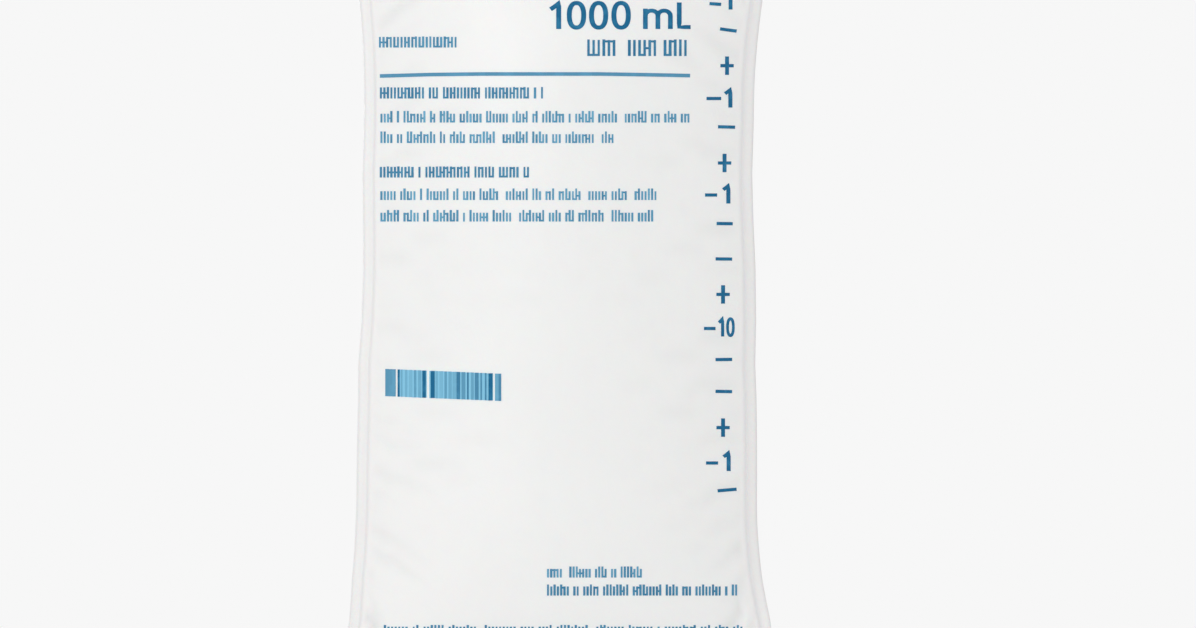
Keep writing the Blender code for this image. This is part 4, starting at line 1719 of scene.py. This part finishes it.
    def word_piece(self, name: str, row: WordRow, tree: Growth, ink: Material) -> Object:
        """Return one row of small print as a flat piece on the middle plane.

        Args:
            name: the piece's name.
            row: the row.
            tree: the tree that fills it.
            ink: its material.

        Returns:
            The flat piece.
        """
        x, z = self.view.place(row.left, row.bottom)
        unit = self.view.unit
        tall = (row.bottom - row.top) * unit
        piece = add_object(name, bpy.data.meshes.new("row"))
        tree.apply(piece, {"Count": int((row.right - row.left) / row.pitch), "Start": (x, 0.0, z),
                           "Pitch": row.pitch * unit, "Pen": row.pen * unit, "Low": tall * row.low,
                           "Tall": tall, "Word": row.word, "Share": self.tall_share,
                           "Tied": row.tied, "Seed": row.seed, "Tone": row.tone, "Ink": ink})
        return piece

    def bar_piece(self, ink: Material) -> Object:
        """Return the block of bars as a flat piece on the middle plane.

        Args:
            ink: its material.

        Returns:
            The flat piece.
        """
        tree, meshes, unit = self.bar_tree(), [], self.view.unit
        for group in self.bar_groups:
            step = (group.right - group.left) / group.count
            middle = group.left + step / 2.0
            x, z = self.view.place(middle, self.bar_row + self.bar_slope * (middle - self.bar_left))
            part = add_object("print_bars", bpy.data.meshes.new("bars"))
            tree.apply(part, {"Count": group.count, "Start": (x, 0.0, z),
                              "Step": (step * unit, 0.0, -self.bar_slope * step * unit),
                              "Height": self.bar_height * unit, "Narrow": group.narrow * step * unit,
                              "Broad": group.broad * step * unit, "Seed": self.bar_seed,
                              "Dark": group.dark, "Pale": group.pale, "Ink": ink})
            settle(part)
            self.raise_face(part.data, group.lift)
            meshes.append(part.data)
            bpy.data.objects.remove(part)
        return add_object("print_bars", join_meshes("print_bars", meshes))

    @staticmethod
    def raise_face(mesh: Mesh, share: float) -> None:
        """Print bars over the ink below.

        Args:
            mesh: the bars.
            share: how much higher their front stands.
        """
        tags = np.zeros(len(mesh.vertices), np.float32)
        mesh.attributes["face"].data.foreach_get("value", tags)
        mesh.attributes["face"].data.foreach_set("value", tags * (1.0 + share))

    def lay(self, piece: Object, ink: Material, tree: Growth) -> None:
        """Lay a flat piece of print on the film and make it ride on the bag.

        Args:
            piece: the piece.
            ink: its material.
            tree: the tree that lays print.
        """
        tree.apply(piece, {"Film": self.film, "Eye": self.view.eye, "Lift": self.lift,
                           "Sink": self.sink, "Ink": ink})
        settle(piece)
        bm = bmesh.new()
        bm.from_mesh(piece.data)
        bmesh.ops.recalc_face_normals(bm, faces=bm.faces)
        bm.to_mesh(piece.data)
        bm.free()
        shade(piece.data)
        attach(piece, "filled_bag")

    def build(self) -> list[Object]:
        """Return the pieces of print."""
        ink, lay_tree, row_tree = self.finish.make(), self.lay_tree(), self.row_tree()
        figures = [stroke for mark in self.capacity for stroke in mark.strokes()]
        marks = [stroke for mark in self.scale_marks() for stroke in mark.strokes()]
        pieces = [self.pen_piece("print_capacity", figures), self.pen_piece("print_rule", [self.rule]),
                  self.pen_piece("print_scale", marks)]
        pieces += [self.word_piece(f"print_row_{number:02d}", row, row_tree, ink)
                   for number, row in enumerate(self.rows, 1)]
        pieces.append(self.bar_piece(ink))
        for piece in pieces:
            self.lay(piece, ink, lay_tree)
        return pieces


# Ports


def port_plastic(name: str) -> PlasticFinish:
    """Return the pale, glossy plastic of the port tubes as a material of that name."""
    return PlasticFinish(name, (0.800, 0.830, 0.840), (0.740, 0.780, 0.795), 0.28, 0.08, 0.20, 0.25)


@dataclass
class OutletPort:
    """The outlet tube with its finger guard and spike socket."""

    x: float = OUTLET_X
    top: float = -0.2840
    end: float = -0.3300
    radius: float = 0.0045
    guard_top: float = -0.3080
    guard_radius: float = 0.0080
    guard_thickness: float = 0.0018
    socket_radius: float = 0.0033
    socket_depth: float = 0.0135
    bore_radius: float = 0.0023
    finish: PlasticFinish = port_plastic("port_plastic_moulded")

    def build(self) -> Object:
        """Return the finished tube, which replaces its solid."""
        low, step = self.guard_top - self.guard_thickness, self.end + self.socket_depth
        corners = [
            (self.radius, self.top, 0.0004), (self.radius, self.guard_top, 0.0006),
            (self.guard_radius, self.guard_top, 0.0006), (self.guard_radius, low, 0.0006),
            (self.radius, low, 0.0004), (self.radius, self.end, 0.0005),
            (self.socket_radius, self.end, 0.0004), (self.socket_radius, step, 0.0),
            (self.bore_radius, step, 0.0), (self.bore_radius, self.top, 0.0004)]
        piece = add_object("outlet_tube", lathe("outlet_tube", corners, True, self.x), self.finish.make())
        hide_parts("outlet_port")
        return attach(piece, "filled_bag")


@dataclass
class OutletMembrane:
    """The membrane that the spike pierces, with its thicker rim."""

    x: float = OUTLET_X
    top: float = -0.3168
    radius: float = 0.0030
    inner: float = 0.0021
    rim: float = 0.0020
    dip: float = 0.0006
    finish: PlasticFinish = PlasticFinish(
        "membrane_moulded", (0.740, 0.770, 0.780), (0.680, 0.715, 0.730), 0.35, 0.08, 0.1)

    def build(self) -> Object:
        """Return the finished membrane, which replaces its solid."""
        low = self.top - self.rim
        corners = [
            (0.0, self.top - self.dip, 0.0), (self.inner, self.top - self.dip, 0.0003),
            (self.inner, self.top, 0.0002), (self.radius, self.top, 0.0002),
            (self.radius, low, 0.0002), (self.inner, low, 0.0002),
            (self.inner, low + self.dip, 0.0003), (0.0, low + self.dip, 0.0)]
        mesh = lathe("outlet_seal", corners, False, self.x, 48)
        piece = add_object("outlet_seal", mesh, self.finish.make())
        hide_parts("outlet_membrane")
        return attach(piece, "filled_bag")


@dataclass
class OutletCap:
    """The pull-off cap: tapered shell, ribs round its side, and a flat tab with raised bars.

    Sizes are in metres. rib_steps are how much less a rib stands out at its lower and upper end.
    """

    x: float = OUTLET_X
    mouth: float = -0.3101
    hollow_end: float = -0.3320
    end: float = -0.3350
    inner: float = 0.0048
    wall: float = 0.0013
    lip: float = 0.0009
    lip_height: float = 0.0020
    taper: float = 0.0004
    ribs: int = 10
    rib_width: float = 0.0010
    rib_proud: float = 0.0007
    rib_length: float = 0.0120
    rib_gap: float = 0.0008
    rib_steps: Point = (0.0002, 0.0003)
    rib_ease: float = 0.0006
    rib_bevel: float = 0.0003
    tab_width: float = 0.0165
    tab_drop: float = 0.0150
    tab_thickness: float = 0.0018
    tab_shoulder: float = 0.0060
    tab_corner: float = 0.0040
    tab_rise: float = 0.0016
    tab_sink: float = 0.0003
    tab_bevel: float = 0.0004
    bar_place: float = 0.45
    bar_pitch: float = 0.0026
    bar_half: float = 0.0045
    bar_radius: float = 0.0005
    bar_proud: float = 0.0006
    bar_bevel: float = 0.0002
    sharp: float = 34.0
    finish: PlasticFinish = PlasticFinish(
        "cap_moulded", (0.030, 0.200, 0.360), (0.022, 0.165, 0.310), 0.38, 0.10, 0.0, 0.1)

    def shell(self) -> Mesh:
        """Return the tapered shell."""
        outer, below_lip = self.inner + self.wall, self.mouth - self.lip_height
        rim = outer + self.lip
        corners = [
            (0.0, self.hollow_end, 0.0), (self.inner, self.hollow_end, 0.0008),
            (self.inner, self.mouth, 0.0002), (rim, self.mouth, 0.0004), (rim, below_lip, 0.0004),
            (outer, below_lip, 0.0003), (outer - self.taper, self.end, 0.0016), (0.0, self.end, 0.0)]
        return lathe("cap_shell", corners, False, self.x)

    def rib(self) -> Mesh:
        """Return one rib, upright at the origin, with its face towards +X."""
        proud, half = self.rib_proud, self.rib_length / 2.0
        low_step, high_step = self.rib_steps
        outline = [(-proud, -half), (proud - low_step, -half), (proud, -half + self.rib_ease),
                   (proud, half - self.rib_ease), (proud - high_step, half), (-proud, half)]
        return plate("rib", outline, self.rib_width, self.rib_bevel)

    @staticmethod
    def rib_tree() -> Growth:
        """Return the tree that sets a rib round the shell."""
        tree = Growth("ribs_round_cap", Geometry="Geometry", Int="Count", Float="Radius Taper",
                      Vector="Middle", Material="Plastic")
        radius, count = tree.size("Radius"), tree.size("Count")
        ring = tree.node("GeometryNodeMeshCircle", None, {"Vertices": count, "Radius": radius})
        turn = tree.math("DIVIDE", (tree.node("GeometryNodeInputIndex") + 0.5) * math.tau, count)
        place = tree.combine(tree.math("COSINE", turn) * radius, tree.math("SINE", turn) * radius)
        ring = tree.moved(ring, Position=tree.vector("ADD", place, tree.size("Middle")))
        spin = tree.combine(0.0, tree.size("Taper"), turn)
        made = tree.instances(ring, tree.size("Geometry"), (1.0, 1.0, 1.0), Rotation=spin)
        tree.close(made, tree.size("Plastic"))
        return tree

    def grip(self, material: Material) -> Mesh:
        """Return the ribs round the shell.

        Args:
            material: the cap's material.

        Returns:
            All ribs as one mesh.
        """
        obj = add_object("cap_ribs", self.rib())
        middle = self.mouth - self.lip_height - self.rib_gap - self.rib_length / 2.0
        self.rib_tree().apply(obj, {
            "Count": self.ribs, "Radius": self.inner + self.wall - 0.5 * self.taper,
            "Taper": self.taper / self.rib_length, "Middle": (self.x, 0.0, middle), "Plastic": material})
        settle(obj)
        mesh = obj.data
        bpy.data.objects.remove(obj)
        return mesh

    def tab(self) -> list[Mesh]:
        """Return the flat tab and the bars raised on it."""
        low, corner = self.end - self.tab_drop, self.tab_corner
        root = self.inner + self.wall - self.taper - self.tab_sink
        left, right = self.x - self.tab_width / 2.0, self.x + self.tab_width / 2.0
        shares = np.linspace(0.0, 1.0, 13)
        side = [(right + (self.x + root - right) * b,
                 self.end - self.tab_shoulder + (self.tab_shoulder + self.tab_rise) * s)
                for s, b in zip(shares, ramp01(shares))]
        outline = arc((right - corner, low + corner), corner, 270.0, 360.0, 12) + side
        outline += [(2.0 * self.x - x, z) for x, z in side[::-1]]
        outline += arc((left + corner, low + corner), corner, 180.0, 270.0, 12)
        meshes = [plate("cap_tab", outline, self.tab_thickness, self.tab_bevel)]
        for number in (-1, 0, 1):
            z = low + self.bar_place * self.tab_drop + self.bar_pitch * number
            bar = round_bar((self.x, z), self.bar_half, self.bar_radius, 8)
            meshes.append(plate("tab_bar", bar, self.tab_thickness + 2.0 * self.bar_proud, self.bar_bevel))
        return meshes

    def build(self) -> Object:
        """Return the finished cap, which replaces its solid."""
        material = self.finish.make()
        mesh = join_meshes("pull_cap", [self.shell(), self.grip(material), *self.tab()])
        piece = add_object("pull_cap", mesh, material)
        shade(mesh, self.sharp)
        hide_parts("outlet_cap")
        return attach(piece, "cap")


@dataclass
class AdditivePort:
    """The additive tube with its cup, the rubber plug in it, and the ring that holds the plug."""

    x: float = ADDITIVE_X
    top: float = -0.2840
    neck_end: float = -0.3050
    cup_top: float = -0.3090
    cup_end: float = -0.3210
    radius: float = 0.0045
    cup_radius: float = 0.0062
    cup_wall: float = 0.0010
    cup_floor: float = 0.0012
    bore_radius: float = 0.0026
    dome_radius: float = 0.0032
    dome_height: float = 0.0013
    target: tuple[float, ...] = (0.0021, 0.0019, 0.0016, 0.0014)
    target_depth: float = 0.0002
    gap: float = 0.0003
    ring_wall: float = 0.0011
    ring_lip: float = 0.0012
    ring_length: float = 0.0085
    groove: float = 0.0004
    grooves: int = 3
    groove_round: float = 0.00012
    window_gap: float = 0.0004
    tube_finish: PlasticFinish = port_plastic("additive_plastic_moulded")
    ring_finish: PlasticFinish = PlasticFinish(
        "ring_moulded", (0.850, 0.860, 0.860), (0.800, 0.815, 0.820), 0.40, 0.10, 0.1)
    plug_finish: RubberFinish = RubberFinish()

    @staticmethod
    def dress(name: str, mesh: Mesh, node: str, slot: str, material: Material) -> Object:
        """Put a mesh in a solid's place.

        Args:
            name: the piece's name.
            mesh: its mesh.
            node: the node that it replaces.
            slot: its slot; not used.
            material: its material.

        Returns:
            The piece.
        """
        piece = add_object(name, mesh, material)
        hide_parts(node)
        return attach(piece, "filled_bag")

    def tube(self) -> Object:
        """Return the tube and its cup."""
        well, inner = self.cup_top - self.cup_floor, self.cup_radius - self.cup_wall
        corners = [
            (self.radius, self.top, 0.0004), (self.radius, self.neck_end, 0.0010),
            (self.cup_radius, self.cup_top, 0.0010), (self.cup_radius, self.cup_end, 0.0002),
            (inner, self.cup_end, 0.0002), (inner, well, 0.0),
            (self.bore_radius, well, 0.0002), (self.bore_radius, self.top, 0.0004)]
        mesh = lathe("additive_tube", corners, True, self.x)
        return self.dress("additive_tube", mesh, "additive_port", "port_plastic", self.tube_finish.make())

    def plug(self) -> Object:
        """Return the rubber plug, with a shallow target ring on its dome."""
        well = self.cup_top - self.cup_floor - self.gap
        radius = self.cup_radius - self.cup_wall - self.gap
        face = self.cup_end - self.dome_height
        sunk = face + self.target_depth
        corners = [
            (0.0, well, 0.0), (radius, well, 0.0004), (radius, self.cup_end, 0.0002),
            (self.dome_radius, self.cup_end, 0.0003), (self.dome_radius, face, 0.0006)]
        corners += [(r, z, 0.0001) for r, z in zip(self.target, (face, sunk, sunk, face))]
        mesh = lathe("rubber_plug", [*corners, (0.0, face, 0.0)], False, self.x, 64)
        return self.dress("rubber_plug", mesh, "additive_septum", "rubber", self.plug_finish.make())

    def ring(self) -> Object:
        """Return the grooved retaining ring."""
        inner = self.cup_radius + self.gap
        outer, lip_top = inner + self.ring_wall, self.cup_end - self.gap
        end = lip_top - self.ring_lip
        top = end + self.ring_length
        corners = [(outer, top, 0.0004)]
        pitch = (self.ring_length - self.ring_lip) / (self.grooves + 1.0)
        for number in range(self.grooves):
            middle = top - pitch * (number + 1.0)
            for off, share in ((0.0, 0.25), (self.groove, 0.12), (self.groove, -0.12), (0.0, -0.25)):
                corners.append((outer - off, middle + share * pitch, self.groove_round))
        window = self.dome_radius + self.window_gap
        corners += [(outer, end, 0.0006), (window, end, 0.0004), (window, lip_top, 0.0),
                    (inner, lip_top, 0.0), (inner, top, 0.0002)]
        mesh = lathe("holding_ring", corners, True, self.x)
        return self.dress("holding_ring", mesh, "additive_collar", "ring_plastic", self.ring_finish.make())

    def build(self) -> list[Object]:
        """Return the three finished pieces."""
        return [self.tube(), self.plug(), self.ring()]


# Studio


@dataclass
class Studio:
    """A plain pale floor, a near-white surround, a soft lamp before and one behind, and the camera.

    backdrop is the surround's level as it is seen, and ambient its level as it lights. Each lamp has
    a name, a level, a place and a width. floor_fade holds shares of the floor's radius.
    """

    view: PhotoView = PhotoView()
    backdrop: float = 0.93
    ambient: float = 0.845
    aim: Place = (0.0, 0.0, -0.16)
    lamps: tuple[tuple[str, float, Place, float], ...] = (
        ("soft_key", 0.175, (-0.95, -2.15, 0.55), 1.4), ("soft_back", 0.110, (-1.60, 1.60, 0.45), 1.1))
    floor_tone: float = 0.90
    floor_height: float = -0.400
    floor_radius: float = 1.15
    floor_fade: Point = (0.35, 0.97)
    clip: Point = (0.05, 30.0)

    @staticmethod
    def cleared(made: World | Material) -> NodeGraph:
        """Return an empty node graph.

        Args:
            made: the new world or material that it belongs to.

        Returns:
            The graph.
        """
        made.use_nodes = True
        made.node_tree.nodes.clear()
        return NodeGraph(made.node_tree)

    def world(self) -> None:
        """Make the surround: plain light, and near-white for camera, glossy and transmission rays."""
        made = bpy.data.worlds.new("studio")
        graph = self.cleared(made)
        lit = graph.node("ShaderNodeBackground", None, {0: (1.0, 1.0, 1.0, 1.0), 1: self.ambient})
        seen = graph.node("ShaderNodeBackground", None, {0: (*[self.backdrop] * 3, 1.0), 1: 1.0})
        ray = graph.node("ShaderNodeLightPath", output="Is Camera Ray")
        plain = graph.math("MAXIMUM", ray, ray.out("Is Glossy Ray"))
        plain = graph.math("MAXIMUM", plain, ray.out("Is Transmission Ray"))
        both = graph.node("ShaderNodeMixShader", None, {0: plain, 1: lit, 2: seen})
        graph.end("ShaderNodeOutputWorld", both)
        bpy.context.scene.world = made

    def lamp(self, name: str, level: float, place: Place, size: float) -> None:
        """Add a soft lamp, aimed at the bag.

        Args:
            name: its name.
            level: how bright it makes a white face that looks at it.
            place: where it is.
            size: its width.
        """
        away = Vector(place) - Vector(self.aim)
        data = bpy.data.lights.new(name, "AREA")
        data.shape, data.size = "DISK", size
        data.energy = level * math.pi ** 2 * away.length_squared
        lamp = add_object(name, data)
        lamp.location = place
        lamp.rotation_euler = away.to_track_quat("Z", "Y").to_euler()

    def floor_material(self) -> Material:
        """Return the floor's material: matt in the middle, and as bright as the surround at its edge."""
        made = bpy.data.materials.new("pale_floor")
        graph = self.cleared(made)
        matt = graph.node("ShaderNodeBsdfDiffuse", None, {0: (*[self.floor_tone] * 3, 1.0)})
        glow = graph.node("ShaderNodeEmission", None, {0: (*[self.backdrop] * 3, 1.0), 1: 1.0})
        place = graph.vector("MULTIPLY", graph.node("ShaderNodeTexCoord", output="Object"), (1.0, 1.0, 0.0))
        reach = graph.node("ShaderNodeVectorMath", {"operation": "LENGTH"}, {0: place}, "Value")
        fade = graph.ramp(reach, *(share * self.floor_radius for share in self.floor_fade))
        graph.end("ShaderNodeOutputMaterial",
                  graph.node("ShaderNodeMixShader", None, {0: fade, 1: matt, 2: glow}))
        return made

    def floor(self) -> None:
        """Add the round pale floor."""
        bm = bmesh.new()
        bmesh.ops.create_circle(bm, cap_ends=True, segments=96, radius=self.floor_radius)
        bmesh.ops.translate(bm, verts=bm.verts, vec=(0.0, 0.0, self.floor_height))
        mesh = bpy.data.meshes.new("floor")
        bm.to_mesh(mesh)
        bm.free()
        obj = add_object("floor", mesh, self.floor_material())

    def camera(self) -> None:
        """Add the camera at the photograph's place."""
        data = bpy.data.cameras.new("camera")
        data.lens, data.sensor_width = self.view.lens, self.view.sensor
        data.clip_start, data.clip_end = self.clip
        camera = add_object("camera", data)
        camera.location = self.view.eye
        camera.rotation_euler = (math.pi / 2.0, 0.0, 0.0)
        bpy.context.scene.camera = camera

    def build(self) -> None:
        """Build the whole studio."""
        bpy.context.scene.view_settings.view_transform = "Standard"
        self.world()
        for lamp in self.lamps:
            self.lamp(*lamp)
        self.floor()
        self.camera()


def main() -> None:
    """Build the studio and every piece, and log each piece."""
    logging.basicConfig(level=logging.INFO, format="%(name)s: %(message)s")
    Studio().build()
    bag = FilledBag().build()
    made = [bag, *PrintedFront(bag).build(), OutletPort().build(), OutletMembrane().build(),
            OutletCap().build(), *AdditivePort().build()]
    for piece in made:
        piece.data.calc_loop_triangles()
        LOG.info("%s: %d triangles", piece.name, len(piece.data.loop_triangles))


if __name__ == "__main__":
    main()
